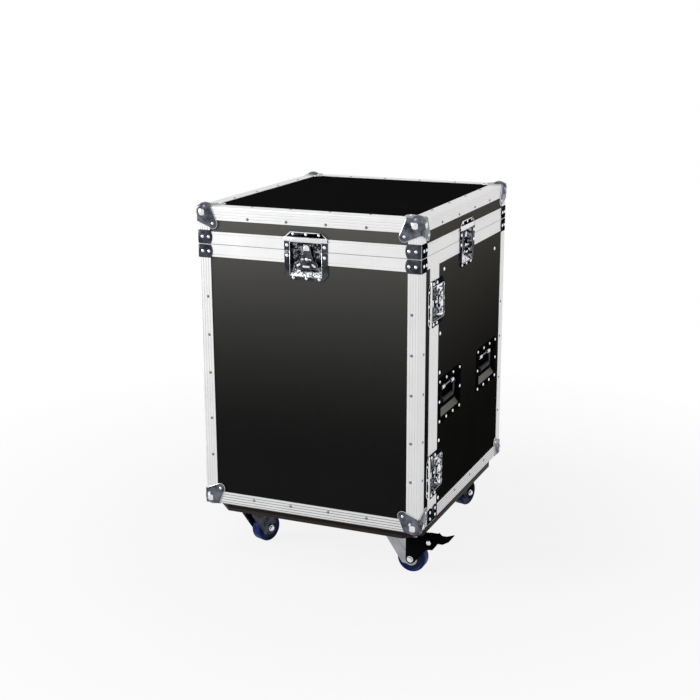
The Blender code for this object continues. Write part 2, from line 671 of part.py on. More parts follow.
def latch_wing():
    """Butterfly grip, folded down over the rotor, with its knuckle round the pin."""
    inner = KNUCKLE_LENGTH / 2
    span = WING_SPAN / 2
    root = -KNUCKLE_RADIUS - 2 * EAR_WALL / 3
    lobe = WING_LENGTH * 0.55
    right = [(inner, 0), (inner, root), (span * 0.55, root)]
    right += arc((span - lobe * 0.45, -lobe), lobe * 0.45, 40, -90, 5)
    right += [(span * 0.30, -WING_LENGTH), (0, 0.004 - WING_LENGTH)]
    left = [(-x, y) for x, y in reversed(right[:-1])]
    half = WING_THICKNESS / 2
    solid = prism(right + left, KNUCKLE_LEVEL - half, KNUCKLE_LEVEL + half, "latch_wing", CHROME)
    turn = frame_matrix((0, 0, KNUCKLE_LEVEL), REAR, UP, RIGHT)
    join(solid, place(cylinder(KNUCKLE_RADIUS, -inner * 0.999, inner * 0.999, 10), turn))
    return cut(solid, place(cylinder(KNUCKLE_BORE, -2 * inner, 2 * inner, 8), turn))


def latch_places():
    """Name, matrix from the latch's own frame, and the two sides that the latch joins."""
    lid_axis = LID_SEAM - LATCH_AXIS_TO_SEAM
    places = []
    for name, outward, across in (("front", FRONT, RIGHT), ("rear", REAR, LEFT),
                                  ("right", RIGHT, REAR), ("left", LEFT, FRONT)):
        reach = HALF_DEPTH if name in ("front", "rear") else HALF_WIDTH
        spot = outward * reach + UP * lid_axis
        low_side = "cover" if name == "front" else "body"
        places.append(("lid_" + name, frame_matrix(spot, across, UP, outward), low_side, "lid"))
    levels = (("upper", LID_SEAM - COVER_LATCH_INSET), ("lower", BOX_BOTTOM + COVER_LATCH_INSET))
    for side, outward, across in (("right", RIGHT, UP), ("left", LEFT, DOWN)):
        for level, height in levels:
            spot = outward * HALF_WIDTH + FRONT * (-COVER_SEAM - LATCH_AXIS_TO_SEAM) + UP * height
            matrix = frame_matrix(spot, across, FRONT, outward)
            places.append((f"cover_{side}_{level}", matrix, "body", "cover"))
    return places


FRAMES = {"lid": lid_closing_frame, "cover": cover_closing_frame, "body": body_closing_frame}
SHELLS = {"lid": lid_shell, "cover": cover_shell, "body": body_shell}
patterns = {"dish": latch_dish(), "cam": latch_cam(), "wing": latch_wing()}
striker = latch_striker()
catch = latch_catch()
recess = latch_recess()
frame_pocket = pocket(RECESS_WALL + CLEARANCE, -POCKET_DEPTH, 3 * LATCH_PLATE)
ply_pocket = pocket(RECESS_WALL + PAN_HOLE_GAP, -2 * PANEL_INSIDE, 3 * LATCH_PLATE)

for name, matrix, low_side, high_side in latch_places():
    for piece, pattern in patterns.items():
        clone = copy_of(pattern, matrix)
        clone.name = f"latch_{name}_{piece}"
        if piece == "cam":
            move_origin(clone, matrix @ Vector((0, 0, ROTOR_TOP)))
        if piece == "wing":
            move_origin(clone, matrix @ Vector((0, 0, KNUCKLE_LEVEL)))
    join(FRAMES[high_side], copy_of(striker, matrix))
    cut(FRAMES[high_side], copy_of(recess, matrix))
    join(FRAMES[high_side], copy_of(catch, matrix))
    cut(FRAMES[low_side], copy_of(frame_pocket, matrix))
    cut(SHELLS[high_side], copy_of(ply_pocket, matrix))
    cut(SHELLS[low_side], copy_of(ply_pocket, matrix))
for pattern in list(patterns.values()) + [striker, catch, recess, frame_pocket, ply_pocket]:
    bpy.data.objects.remove(pattern, do_unlink=True)


# Recessed handles, drawn with the middle of the plate at the local origin, +Y up and +Z outwards

PLATE_LEVEL = CLEARANCE - PANEL_SET
DISH_FLOOR = -HANDLE_DISH_DEPTH
FLOOR_MIDDLE = (HANDLE_LOWER_SLOPE - HANDLE_UPPER_SLOPE) / 2


def dish_loop(growth, level, share):
    """Mouth outline at share 0 and floor outline at share 1, widened by a wall."""
    width = HANDLE_MOUTH_WIDTH - 2 * HANDLE_SIDE_SLOPE * share + 2 * growth
    height = HANDLE_MOUTH_HEIGHT - (HANDLE_LOWER_SLOPE + HANDLE_UPPER_SLOPE) * share + 2 * growth
    outline = rounded_rectangle(width, height, HANDLE_DISH_CORNER + growth, level)
    return [(x, y + FLOOR_MIDDLE * share, z) for x, y, z in outline]


def handle_dish():
    outline = rounded_rectangle(HANDLE_PLATE_WIDTH, HANDLE_PLATE_HEIGHT, HANDLE_CORNER, 0)
    plate = [(x, y) for x, y, z in outline]
    top = PLATE_LEVEL + HANDLE_PLATE_WALL
    wall = HANDLE_PLATE_WALL
    solid = prism(plate, PLATE_LEVEL, top, "handle_dish", DISH_BLACK)
    join(solid, loft([dish_loop(wall, top - wall / 2, 0), dish_loop(wall, DISH_FLOOR - wall, 1)], False))
    hollow = loft([dish_loop(0, top + wall, 0), dish_loop(0, top, 0), dish_loop(0, DISH_FLOOR, 1)], False)
    cut(solid, hollow)
    inner = BAIL_WIDTH / 2 + BAIL_BEND_RADIUS + CLEARANCE
    reach = BAIL_ROD_RADIUS + CLEARANCE + BAIL_EAR_WALL / 2
    for sign in (1, -1):
        low, high = sorted((sign * inner, sign * (inner + BAIL_EAR_WALL)))
        join(solid, box((low, BAIL_PIVOT_HEIGHT - BAIL_EAR_HEIGHT / 2, DISH_FLOOR - wall / 2),
                        (high, BAIL_PIVOT_HEIGHT + BAIL_EAR_HEIGHT / 2, reach - BAIL_PIVOT_DEPTH)))
        low, high = sorted((sign * (inner - BAIL_EAR_WALL), sign * (inner + 1.5 * BAIL_EAR_WALL)))
        bore = cylinder(BAIL_ROD_RADIUS + CLEARANCE, low, high, 12)
        cut(solid, place(bore, frame_matrix((0, BAIL_PIVOT_HEIGHT, -BAIL_PIVOT_DEPTH), REAR, UP, RIGHT)))
    return solid


def tube(stations, sides, name, material):
    """Round bar along points in the local XY plane, each with its own radius, mitred at the bends."""
    loops = []
    points = [Vector((x, y, 0)) for x, y, radius in stations]
    for index, (x, y, radius) in enumerate(stations):
        before = points[index] - points[index - 1] if index else points[1] - points[0]
        after = points[index + 1] - points[index] if index + 1 < len(points) else before
        tangent = (before.normalized() + after.normalized()).normalized()
        across = tangent.cross(UP) / max(0.5, tangent.dot(after.normalized()))
        loops.append([points[index] + radius * (across * math.cos(turn) + UP * math.sin(turn))
                      for turn in [math.tau * (step + 0.5) / sides for step in range(sides)]])
    return loft(loops, False, name, material)


def handle_bail():
    """Bent bar that hangs from the two ears, with a thick grip in the middle."""
    half = BAIL_WIDTH / 2
    bend = BAIL_BEND_RADIUS
    rod = BAIL_ROD_RADIUS
    tip = half + bend + BAIL_EAR_WALL + 4 * CLEARANCE
    grip = BAIL_GRIP_LENGTH / 2
    right = [(tip, 0, rod)]
    right += [(x, y, rod) for x, y in arc((half + bend, -bend), bend, 90, 180, 2)]
    right += [(x, y, rod) for x, y in arc((half - bend, bend - BAIL_DROP), bend, 0, -90, 2)]
    right += [(grip + 0.0015, -BAIL_DROP, rod), (grip, -BAIL_DROP, BAIL_GRIP_RADIUS)]
    left = [(-x, y, radius) for x, y, radius in reversed(right)]
    return tube(right + left, 8, "handle_bail", GRIP_BLACK)


handle_patterns = (handle_dish(), handle_bail())
hole_loop = [(x, y) for x, y, z in dish_loop(HANDLE_PLATE_WALL + CLEARANCE, 0, 0)]
handle_hole = prism(hole_loop, -2 * PANEL_INSIDE, PANEL_SET)
for side_name, outward, across in (("right", RIGHT, REAR), ("left", LEFT, FRONT)):
    for end_name, depth in (("front", COVER_SEAM + HANDLE_FRONT_INSET), ("rear", HALF_DEPTH - HANDLE_REAR_INSET)):
        spot = outward * HALF_WIDTH + REAR * depth + UP * (BOX_BOTTOM + HANDLE_HEIGHT)
        matrix = frame_matrix(spot, across, UP, outward)
        dish = copy_of(handle_patterns[0], matrix)
        dish.name = f"handle_{side_name}_{end_name}_dish"
        pivot = matrix @ Vector((0, BAIL_PIVOT_HEIGHT, -BAIL_PIVOT_DEPTH))
        bail = copy_of(handle_patterns[1], frame_matrix(pivot, across, UP, outward))
        bail.name = f"handle_{side_name}_{end_name}_bail"
        move_origin(bail, pivot)
        cut(body_shell, copy_of(handle_hole, matrix))
for pattern in handle_patterns + (handle_hole,):
    bpy.data.objects.remove(pattern, do_unlink=True)


# Rack rails with square holes, drawn with the length along +Y, the face up and the wall towards +X

RACK_HALF_OPENING = HALF_WIDTH - PANEL_INSIDE - CLEARANCE - RAIL_WIDTH


def rack_rail(name, length, side_depth):
    """Angle with a row of square holes, three to each whole unit of its length."""
    section = [(0, 0), (RAIL_WIDTH, 0), (RAIL_WIDTH, -side_depth), (RAIL_WIDTH - RAIL_WALL, -side_depth),
               (RAIL_WIDTH - RAIL_WALL, -RAIL_WALL), (0, -RAIL_WALL)]
    rail = loft([[(x, y, z) for x, z in section] for y in (0, length)], False, name, RAIL_STEEL)
    half = RACK_HOLE / 2
    for unit in range(int(length / RACK_UNIT)):
        for offset in RACK_HOLE_OFFSETS:
            spot = unit * RACK_UNIT + offset
            low = (RACK_HOLE_INSET - half, spot - half, -2 * RAIL_WALL)
            high = (RACK_HOLE_INSET + half, spot + half, RAIL_WALL)
            cut(rail, box(low, high))
    return rail


rail_foot = SHELL_FLOOR + PLY + CLEARANCE
top_rail_start = COVER_SEAM + TOP_RAIL_SETBACK
front_length = LID_SEAM - TOP_RAIL_DROP - TOP_RAIL_SIDE - RAIL_END_GAP - rail_foot
top_length = (HALF_DEPTH - PANEL_INSIDE - TOP_RAIL_REAR_GAP - top_rail_start) / math.cos(TOP_RAIL_SLOPE)
front_place = frame_matrix((RACK_HALF_OPENING, COVER_SEAM + FRONT_RAIL_SETBACK, rail_foot), RIGHT, UP, FRONT)
slope = Vector((0, math.cos(TOP_RAIL_SLOPE), -math.sin(TOP_RAIL_SLOPE)))
top_place = frame_matrix((RACK_HALF_OPENING, top_rail_start, LID_SEAM - TOP_RAIL_DROP),
                         RIGHT, slope, RIGHT.cross(slope))
for name, length, depth, matrix in (("front_rail", front_length, FRONT_RAIL_SIDE, front_place),
                                    ("top_rail", top_length, TOP_RAIL_SIDE, top_place)):
    rail = place(rack_rail(name + "_right", length, depth), matrix)
    copy_of(rail, Matrix.Diagonal((-1, 1, 1, 1))).name = name + "_left"


# Castor board

board_x = HALF_WIDTH - BOARD_SIDE_INSET
board_y = HALF_DEPTH - BOARD_FRONT_INSET
chamfer = BOARD_CHAMFER
board_outline = [(board_x, board_y - chamfer), (board_x - chamfer, board_y),
                 (chamfer - board_x, board_y), (-board_x, board_y - chamfer),
                 (-board_x, chamfer - board_y), (chamfer - board_x, -board_y),
                 (board_x - chamfer, -board_y), (board_x, chamfer - board_y)]
prism(board_outline, CASTOR_HEIGHT + CLEARANCE, CASTOR_HEIGHT + CLEARANCE + BOARD_THICKNESS, "base_board",
      BOARD_WOOD)


# Castors, drawn with the kingpin on the local Z axis, the floor at 0 and the wheel trailing to +X

PLATE_BOTTOM = CASTOR_HEIGHT - CASTOR_PLATE_WALL
HEAD_BOTTOM = PLATE_BOTTOM - CLEARANCE - FORK_HEAD_HEIGHT
CROWN_BOTTOM = HEAD_BOTTOM - FORK_CROWN_THICKNESS
AXLE = Vector((CASTOR_TRAIL, 0, WHEEL_RADIUS))
PEDAL_PIVOT = Vector((PEDAL_PIVOT_REACH, 0, PEDAL_PIVOT_HEIGHT))


def cross_axle(obj, spot):
    """Lay an upright piece across the castor, at a spot in its middle plane."""
    return place(obj, frame_matrix(spot, RIGHT, DOWN, REAR))


def side_plate(outline, low, high):
    """Plate in the castor's middle plane, from one distance beside it to another."""
    return place(prism(outline, low, high), frame_matrix((0, 0, 0), RIGHT, UP, FRONT))


def castor_plate():
    outline = [(x, y) for x, y, z in rounded_rectangle(CASTOR_PLATE_LENGTH, CASTOR_PLATE_WIDTH,
                                                      CASTOR_PLATE_CORNER, 0, 2)]
    solid = prism(outline, PLATE_BOTTOM, CASTOR_HEIGHT, "castor_plate", ZINC)
    bore = cylinder(KINGPIN_RADIUS + KINGPIN_GAP, PLATE_BOTTOM - 0.01, CASTOR_HEIGHT + 0.01, 16)
    return cut(solid, bore)


def castor_fork(braked):
    solid = cylinder(KINGPIN_RADIUS, HEAD_BOTTOM + 0.001, CASTOR_HEIGHT, 16, "castor_fork", ZINC)
    join(solid, cylinder(FORK_HEAD_RADIUS, HEAD_BOTTOM - 0.001, HEAD_BOTTOM + FORK_HEAD_HEIGHT, 16))
    crown = arc((0, 0), FORK_CROWN_RADIUS, 35, 325, 10)
    crown += [(FORK_LEG_BACK, -LEG_OUTSIDE), (FORK_LEG_BACK, LEG_OUTSIDE)]
    join(solid, prism(crown, CROWN_BOTTOM, HEAD_BOTTOM))
    leg_top = CROWN_BOTTOM + 0.001
    leg = [(-FORK_LEG_FRONT, leg_top), (-FORK_LEG_FRONT, CROWN_BOTTOM - FORK_SHOULDER),
           (AXLE.x - FORK_TOE_REACH, AXLE.z - FORK_TOE_DROP)]
    leg += arc((AXLE.x, AXLE.z), FORK_FOOT_RADIUS, 235, 360, 5) + [(FORK_LEG_BACK, leg_top)]
    cheek = [(AXLE.x - CHEEK_FOOT_RADIUS, CROWN_BOTTOM)]
    cheek += arc((AXLE.x, AXLE.z), CHEEK_FOOT_RADIUS, 180, 320, 6)
    cheek += arc((PEDAL_PIVOT.x, PEDAL_PIVOT.z), PEDAL_CHEEK_RADIUS, -40, 90, 5)
    for sign in (1, -1):
        low, high = sorted((sign * LEG_INSIDE, sign * LEG_OUTSIDE))
        join(solid, side_plate(leg, low, high))
        if braked:
            low, high = sorted((sign * (LEG_INSIDE + FORK_WALL / 2), sign * (LEG_OUTSIDE + PEDAL_CHEEK)))
            join(solid, side_plate(cheek, low, high))
    outside = LEG_OUTSIDE + (PEDAL_CHEEK if braked else 0)
    join(solid, cross_axle(cylinder(AXLE_RADIUS, -outside, outside, 16), AXLE))
    ends = [(AXLE, AXLE_HEAD_RADIUS, AXLE_HEAD)]
    if braked:
        join(solid, cross_axle(cylinder(PEDAL_PIN_RADIUS, -outside, outside, 12), PEDAL_PIVOT))
        ends.append((PEDAL_PIVOT, PEDAL_PIN_HEAD, PEDAL_PIN_HEAD / 2))
    for spot, radius, height in ends:
        for low, high in ((outside - 0.001, outside + height), (-outside - height, 0.001 - outside)):
            join(solid, cross_axle(cylinder(radius, low, high, 8), spot))
    return solid


def castor_wheel():
    """Hub, dished sides and a tread with rounded corners, about the axle."""
    half = WHEEL_TREAD / 2
    dish = half - WHEEL_SIDE_DISH
    rim = WHEEL_RIM_RADIUS
    corner = WHEEL_TREAD_CORNER
    right = [(AXLE_RADIUS + CLEARANCE, HUB_HALF), (WHEEL_HUB_RADIUS, HUB_HALF), (WHEEL_HUB_RADIUS, dish),
             (rim, dish), (rim, half), (WHEEL_RADIUS - corner, half), (WHEEL_RADIUS, half - corner)]
    left = [(radius, -height) for radius, height in reversed(right)]
    return cross_axle(turned(right + left, 24, "castor_wheel", TYRE_BLUE), AXLE)


def brake_pedal():
    """Channel round the pin with a brake shoe above the tyre, and a wide dished tread to step on."""
    half = PEDAL_WIDTH / 2
    inner = half - PEDAL_WALL
    top = PEDAL_RISE
    dip = top - TREAD_DIP
    middle = (TREAD_START + PEDAL_REACH) / 2
    wall = TREAD_WALL
    shoe_side = SHOE_DROP * 0.8
    bend = TREAD_START + 2 * wall
    channel = [(-PEDAL_CHEEK_RADIUS, top), (TREAD_START, top), (bend, dip), (bend, dip - 2 * wall),
               (HEEL_BACK, -shoe_side), (0, -shoe_side), (-SHOE_REACH * 0.8, -SHOE_DROP),
               (-SHOE_REACH, -shoe_side), (-PEDAL_CHEEK_RADIUS, -PEDAL_BORE)]
    hollow = [(-2 * SHOE_REACH, top - wall), (2 * bend, top - wall),
              (2 * bend, wall - shoe_side), (-2 * SHOE_REACH, wall - shoe_side)]
    tread = [(TREAD_START, top), (bend, dip), (middle, dip), (PEDAL_REACH, top), (PEDAL_REACH, top - wall / 2),
             (middle + wall, dip - wall), (bend - wall / 2, dip - wall), (TREAD_START, top - wall)]

    def around_pivot(outline):
        return [(PEDAL_PIVOT.x + x, PEDAL_PIVOT.z + z) for x, z in outline]

    solid = side_plate(around_pivot(channel), -half, half)
    solid.name = "brake_pedal"
    solid.data.materials.append(PEDAL_BLACK)
    cut(solid, side_plate(around_pivot(hollow), -inner, inner))
    join(solid, side_plate(around_pivot(tread), -TREAD_WIDTH / 2, TREAD_WIDTH / 2))
    return cut(solid, cross_axle(cylinder(PEDAL_BORE, -2 * half, 2 * half, 12), PEDAL_PIVOT))


castor_patterns = {"plate": castor_plate(), "fork": castor_fork(False), "braked_fork": castor_fork(True),
                   "wheel": castor_wheel(), "pedal": brake_pedal()}
castor_x = HALF_WIDTH - CASTOR_SIDE_INSET
castor_y = HALF_DEPTH - CASTOR_FRONT_INSET
for name, x, y, turn, braked in (("front_right", castor_x, -castor_y, 0, True),
                                 ("front_left", -castor_x, -castor_y, 70, False),
                                 ("rear_right", castor_x, castor_y, 76, False),
                                 ("rear_left", -castor_x, castor_y, 180, True)):
    stand = Matrix.Translation((x, y, 0))
    matrix = stand @ Matrix.Rotation(math.radians(turn), 4, "Z")
    copy_of(castor_patterns["plate"], stand).name = f"castor_{name}_plate"
    fork = copy_of(castor_patterns["braked_fork" if braked else "fork"], matrix)
    fork.name = f"castor_{name}_fork"
    move_origin(fork, matrix @ Vector((0, 0, HEAD_BOTTOM)))
    wheel = copy_of(castor_patterns["wheel"], matrix)
    wheel.name = f"castor_{name}_wheel"
    move_origin(wheel, matrix @ AXLE)
    if braked:
        pedal = copy_of(castor_patterns["pedal"], matrix)
        pedal.name = f"castor_{name}_pedal"
        move_origin(pedal, matrix @ PEDAL_PIVOT)
for pattern in castor_patterns.values():
    bpy.data.objects.remove(pattern, do_unlink=True)
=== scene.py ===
import math

import bmesh
import bpy
from mathutils import Matrix, Vector


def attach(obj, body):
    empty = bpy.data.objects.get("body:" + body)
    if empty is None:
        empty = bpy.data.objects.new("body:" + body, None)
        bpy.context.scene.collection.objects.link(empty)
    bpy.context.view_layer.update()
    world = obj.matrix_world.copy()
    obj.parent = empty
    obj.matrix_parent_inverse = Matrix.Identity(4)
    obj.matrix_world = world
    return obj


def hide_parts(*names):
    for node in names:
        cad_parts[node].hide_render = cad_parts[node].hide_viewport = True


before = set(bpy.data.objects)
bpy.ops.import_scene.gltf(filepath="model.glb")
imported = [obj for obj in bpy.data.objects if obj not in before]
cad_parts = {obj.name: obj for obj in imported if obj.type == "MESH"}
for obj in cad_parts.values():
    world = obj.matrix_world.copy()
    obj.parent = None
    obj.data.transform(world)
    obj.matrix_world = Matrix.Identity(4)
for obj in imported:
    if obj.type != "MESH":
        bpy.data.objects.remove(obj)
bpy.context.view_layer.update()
scene = bpy.context.scene


# Plywood panels
# The lid, the cover and the body are boxes of 9 mm birch plywood faced with black phenolic film, which
# is pressed on hot and keeps a fine pebbled grain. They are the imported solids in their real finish.

def colour(text):
    """Linear colour of an sRGB hex text."""
    parts = [int(text[i:i + 2], 16) / 255 for i in (1, 3, 5)]
    return [c / 12.92 if c <= 0.04045 else ((c + 0.055) / 1.055) ** 2.4 for c in parts] + [1.0]


def new_finish(name):
    """Material with its own shader and nothing else yet."""
    material = bpy.data.materials.new(name)
    material.use_nodes = True
    return material


def wire(owner, node, values, links):
    """Set and link sockets of a node; a whole node as the source gives its first output in use."""
    for socket, value in (values or {}).items():
        node.inputs[socket].default_value = value
    for socket, source in (links or {}).items():
        if isinstance(source, bpy.types.Node):
            source = next(output for output in source.outputs if output.enabled)
        owner.node_tree.links.new(source, node.inputs[socket])


def add_node(owner, kind, values=None, links=None, **settings):
    """Add a node with its settings, the values of its sockets and the links into them."""
    node = owner.node_tree.nodes.new("ShaderNode" + kind)
    for name, value in settings.items():
        setattr(node, name, value)
    wire(owner, node, values, links)
    return node


def shade(material, values, links):
    """Set and link the sockets of a material's own shader."""
    wire(material, material.node_tree.nodes["Principled BSDF"], values, links)


def clouded(name, values, shades, patch, detail, gloss, span=(0, 1), twist=0.0, stretch=(1, 1, 1)):
    """Finish that drifts in clouds of a patch size in metres: between two shades, over a span of the
    noise, and between two roughnesses."""
    finish = new_finish(name)
    spot = add_node(finish, "TexCoord").outputs["Object"]
    drawn = add_node(finish, "Mapping", {"Scale": stretch}, {"Vector": spot})
    cloud = add_node(finish, "TexNoise", {"Scale": 1 / patch, "Detail": detail, "Distortion": twist},
                     {"Vector": drawn})
    ramp = add_node(finish, "MapRange", {"From Min": span[0], "From Max": span[1]}, {"Value": cloud})
    dark, light = map(colour, shades)
    tint = add_node(finish, "Mix", {6: dark, 7: light}, {0: ramp}, data_type="RGBA")
    rough = add_node(finish, "MapRange", {"To Min": gloss[0], "To Max": gloss[1]}, {"Value": cloud})
    shade(finish, values, {"Base Color": tint, "Roughness": rough})
    return finish


def dress(node_name, material):
    """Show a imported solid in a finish."""
    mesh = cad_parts[node_name].data
    mesh.materials.clear()
    mesh.materials.append(material)


# Matt black film: no mirror at all, so it shows as soft black with a faint cloud of wear; the 2 mm pebble
# breaks up what light it throws back. A grey painted sheen, standing in for the light, grows towards the
# top of the upright faces; it is left off the faces that look up, such as the top of the lid.
# Heights in metres between which the painted sheen grows.
SHEEN_LOW, SHEEN_HIGH = 0.25, 0.77
film = clouded("phenolic_film_black", {"Specular IOR Level": 0.0}, ("#1a1b1a", "#212221"),
               patch=0.25, detail=6.0, gloss=(0.56, 0.72), stretch=(1.0, 2.5, 1.0))
places = film.node_tree.nodes["Texture Coordinate"].outputs
height = add_node(film, "SeparateXYZ", {}, {0: places["Object"]}).outputs["Z"]
rise = add_node(film, "MapRange", {"From Min": SHEEN_LOW, "From Max": SHEEN_HIGH}, {"Value": height})
steep = add_node(film, "Math", {1: 2.1}, {0: rise}, operation="POWER")
facing_up = add_node(film, "SeparateXYZ", {}, {0: places["Normal"]}).outputs["Z"]
upright = add_node(film, "MapRange", {"To Min": 1.0, "To Max": 0.0}, {"Value": facing_up})
# Painted sheen: grey mixed over the black, rising towards the top of the upright faces.
painted_sheen = add_node(film, "Math", {}, {0: steep, 1: upright}, operation="MULTIPLY")
black = film.node_tree.nodes["Mix"]
tint = add_node(film, "Mix", {7: colour("#6a6966")}, {0: painted_sheen, 6: black}, data_type="RGBA")
pebble = add_node(film, "TexVoronoi", {"Scale": 1 / 0.002}, {"Vector": places["Object"]})
relief = add_node(film, "Bump", {"Strength": 0.5, "Distance": 0.00012}, {"Height": pebble})
shade(film, {}, {"Base Color": tint, "Normal": relief})
for panels in ("lid_shell", "cover_shell", "body_shell"):
    dress(panels, film)


# Aluminium edge angles
# Extruded aluminium angles with a 29.5 mm leg on each face are riveted over the plywood edges. Fine
# lines are drawn along each leg, and the bars meet under the ball corners.

RIGHT, LEFT = Vector((1, 0, 0)), Vector((-1, 0, 0))
REAR, FRONT = Vector((0, 1, 0)), Vector((0, -1, 0))
UP, DOWN = Vector((0, 0, 1)), Vector((0, 0, -1))
GAP = 0.0003
SEAM_GAP = 0.0005
HALF_WIDTH = 0.2575
HALF_DEPTH = 0.292
BOX_BOTTOM = 0.1263
BOX_TOP = BOX_BOTTOM + 0.679
LID_SEAM = BOX_TOP - 0.082
COVER_SEAM = -HALF_DEPTH + 0.082
SHEET = 0.0014
ANGLE_LEG = 0.0295
CLOSING_LEG = 0.0273
CLOSING_END = SEAM_GAP / 2 + CLOSING_LEG + GAP
DRAWN_LINES = (0.0055, 0.0115, 0.0175, 0.0235)
LINE_HALF, LINE_DEPTH = 0.0008, 0.0007
CRISP = 32


def grained(finish, size, detail, strength, depth):
    """Give a finish a fine relief, its grain size and depth in metres."""
    spot = finish.node_tree.nodes["Texture Coordinate"].outputs["Object"]
    grain = add_node(finish, "TexNoise", {"Scale": 1 / size, "Detail": detail}, {"Vector": spot})
    relief = add_node(finish, "Bump", {"Strength": strength, "Distance": depth}, {"Height": grain})
    shade(finish, {}, {"Normal": relief})


# Anodised aluminium: a pale satin metal, its layer of oxide almost white, with long faint clouds and
# fine scratches.
anodised = clouded("anodised_aluminium", {"Metallic": 0.97}, ("#d6d6d6", "#e0e0e1"),
                   patch=0.06, detail=5.0, gloss=(0.36, 0.52))
grained(anodised, 0.003, 3.0, 0.35, 0.00003)

# The same metal in dull mid grey: painted shade in the drawn lines of the lower bars.
groove_shade = clouded("anodised_aluminium_painted_groove_shade", {"Metallic": 0.97}, ("#77787a", "#9a9b9d"),
                patch=0.03, detail=4.0, gloss=(0.45, 0.6))


def new_piece(name, bm, *materials):
    """Object from a bmesh, its faces turned outwards."""
    bmesh.ops.recalc_face_normals(bm, faces=bm.faces)
    mesh = bpy.data.meshes.new(name)
    bm.to_mesh(mesh)
    bm.free()
    for material in materials:
        mesh.materials.append(material)
    piece = bpy.data.objects.new(name, mesh)
    scene.collection.objects.link(piece)
    return piece


def smooth(piece, angle=CRISP):
    """Smooth shading, with edges sharper than an angle in degrees kept crisp."""
    piece.data.shade_smooth()
    piece.data.set_sharp_from_angle(angle=math.radians(angle))
    return piece


def settle(piece, name, body, slot, *nodes):
    """Name a finished piece, seat it on its body and let it stand for the nodes it replaces."""
    piece.name = name
    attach(piece, body)
    if nodes:
        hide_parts(*nodes)
    return piece


def extrude_outline(bm, points, travel):
    """Face through points, drawn out into a solid."""
    face = bm.faces.new([bm.verts.new(point) for point in points])
    grown = bmesh.ops.extrude_face_region(bm, geom=[face])["geom"]
    bmesh.ops.translate(bm, vec=travel, verts=[v for v in grown if isinstance(v, bmesh.types.BMVert)])


def angle_section():
    """Depth below the first face and below the second one, with V lines in both legs."""
    leg = [(0, 0.0022)]
    for line in DRAWN_LINES:
        leg += [(0, line - LINE_HALF), (LINE_DEPTH, line), (0, line + LINE_HALF)]
    leg += [(0, ANGLE_LEG - 0.0005), (0.0005, ANGLE_LEG), (SHEET, ANGLE_LEG)]
    return [(0.0006, 0.0006)] + leg + [(SHEET, SHEET)] + [(y, x) for x, y in reversed(leg)]


def paint_light(piece, picked, finish=1):
    """Paint light or shade: give another of its finishes to the faces that a test picks by their middle and
    direction.
    """
    for face in piece.data.polygons:
        if picked(face.center, face.normal):
            face.material_index = finish
    return piece


def edge_angles(name, body, node, low, high, edges):
    """Bars along edges of a box, each edge given by the directions of its two faces, as one piece."""
    bm = bmesh.new()
    low, high = Vector(low), Vector(high)
    for first, second in edges:
        axis = [abs(v) for v in first.cross(second)].index(1.0)
        corner = Vector([high[i] if (first + second)[i] > 0 else low[i] for i in range(3)])
        corner[axis] = low[axis]
        travel = Vector([high[i] - low[i] if i == axis else 0 for i in range(3)])
        extrude_outline(bm, [corner - first * x - second * y for x, y in angle_section()], travel)
    piece = settle(smooth(new_piece(name, bm, anodised, groove_shade)), name, body, "edge", node)
    # Painted shade: the flanks of the drawn lines on the lower bars take the dull grey finish.
    paint_light(piece, lambda middle, facing: middle.z < BOX_BOTTOM + ANGLE_LEG and 0.3 < abs(facing.z) < 0.9)


edge_angles("lid_edges", "lid", "lid_edge_trim", (-HALF_WIDTH, -HALF_DEPTH, LID_SEAM + CLOSING_END),
            (HALF_WIDTH, HALF_DEPTH, BOX_TOP),
            [(UP, RIGHT), (UP, LEFT), (UP, FRONT), (UP, REAR),
             (RIGHT, FRONT), (LEFT, FRONT), (RIGHT, REAR), (LEFT, REAR)])
edge_angles("cover_edges", "cover", "cover_edge_trim", (-HALF_WIDTH, -HALF_DEPTH, BOX_BOTTOM),
            (HALF_WIDTH, COVER_SEAM - CLOSING_END, LID_SEAM - CLOSING_END),
            [(FRONT, RIGHT), (FRONT, LEFT), (FRONT, DOWN), (RIGHT, DOWN), (LEFT, DOWN)])
edge_angles("body_edges", "case", "body_edge_trim", (-HALF_WIDTH, COVER_SEAM + CLOSING_END, BOX_BOTTOM),
            (HALF_WIDTH, HALF_DEPTH, LID_SEAM - CLOSING_END),
            [(REAR, RIGHT), (REAR, LEFT), (REAR, DOWN), (RIGHT, DOWN), (LEFT, DOWN)])


# Rivets
# Steel blind rivets hold the edges, and larger bright ones the hardware. Each is a domed head on the
# sheet; they are gathered by body here and at the pieces they hold, and built in the last section.

LID_INSET, FOOT_INSET, POST_INSET = 0.0235, 0.019, 0.02
rivets = {}

# On the sides, the braces and latches at the seams leave no room in front of one line and above another.
FIRST_BELOW, LAST_UPRIGHT = -0.1, 0.45


def rivet(body, point, outward, radius, height, kind="bright"):
    """Note a rivet for the last section, by its seat, its direction and its head's size."""
    rivets.setdefault((kind, body), []).append((Vector(point), Vector(outward), radius, height))


def edge_rivet(body, point, outward):
    rivet(body, point, outward, 0.0029, 0.0012, "edge")


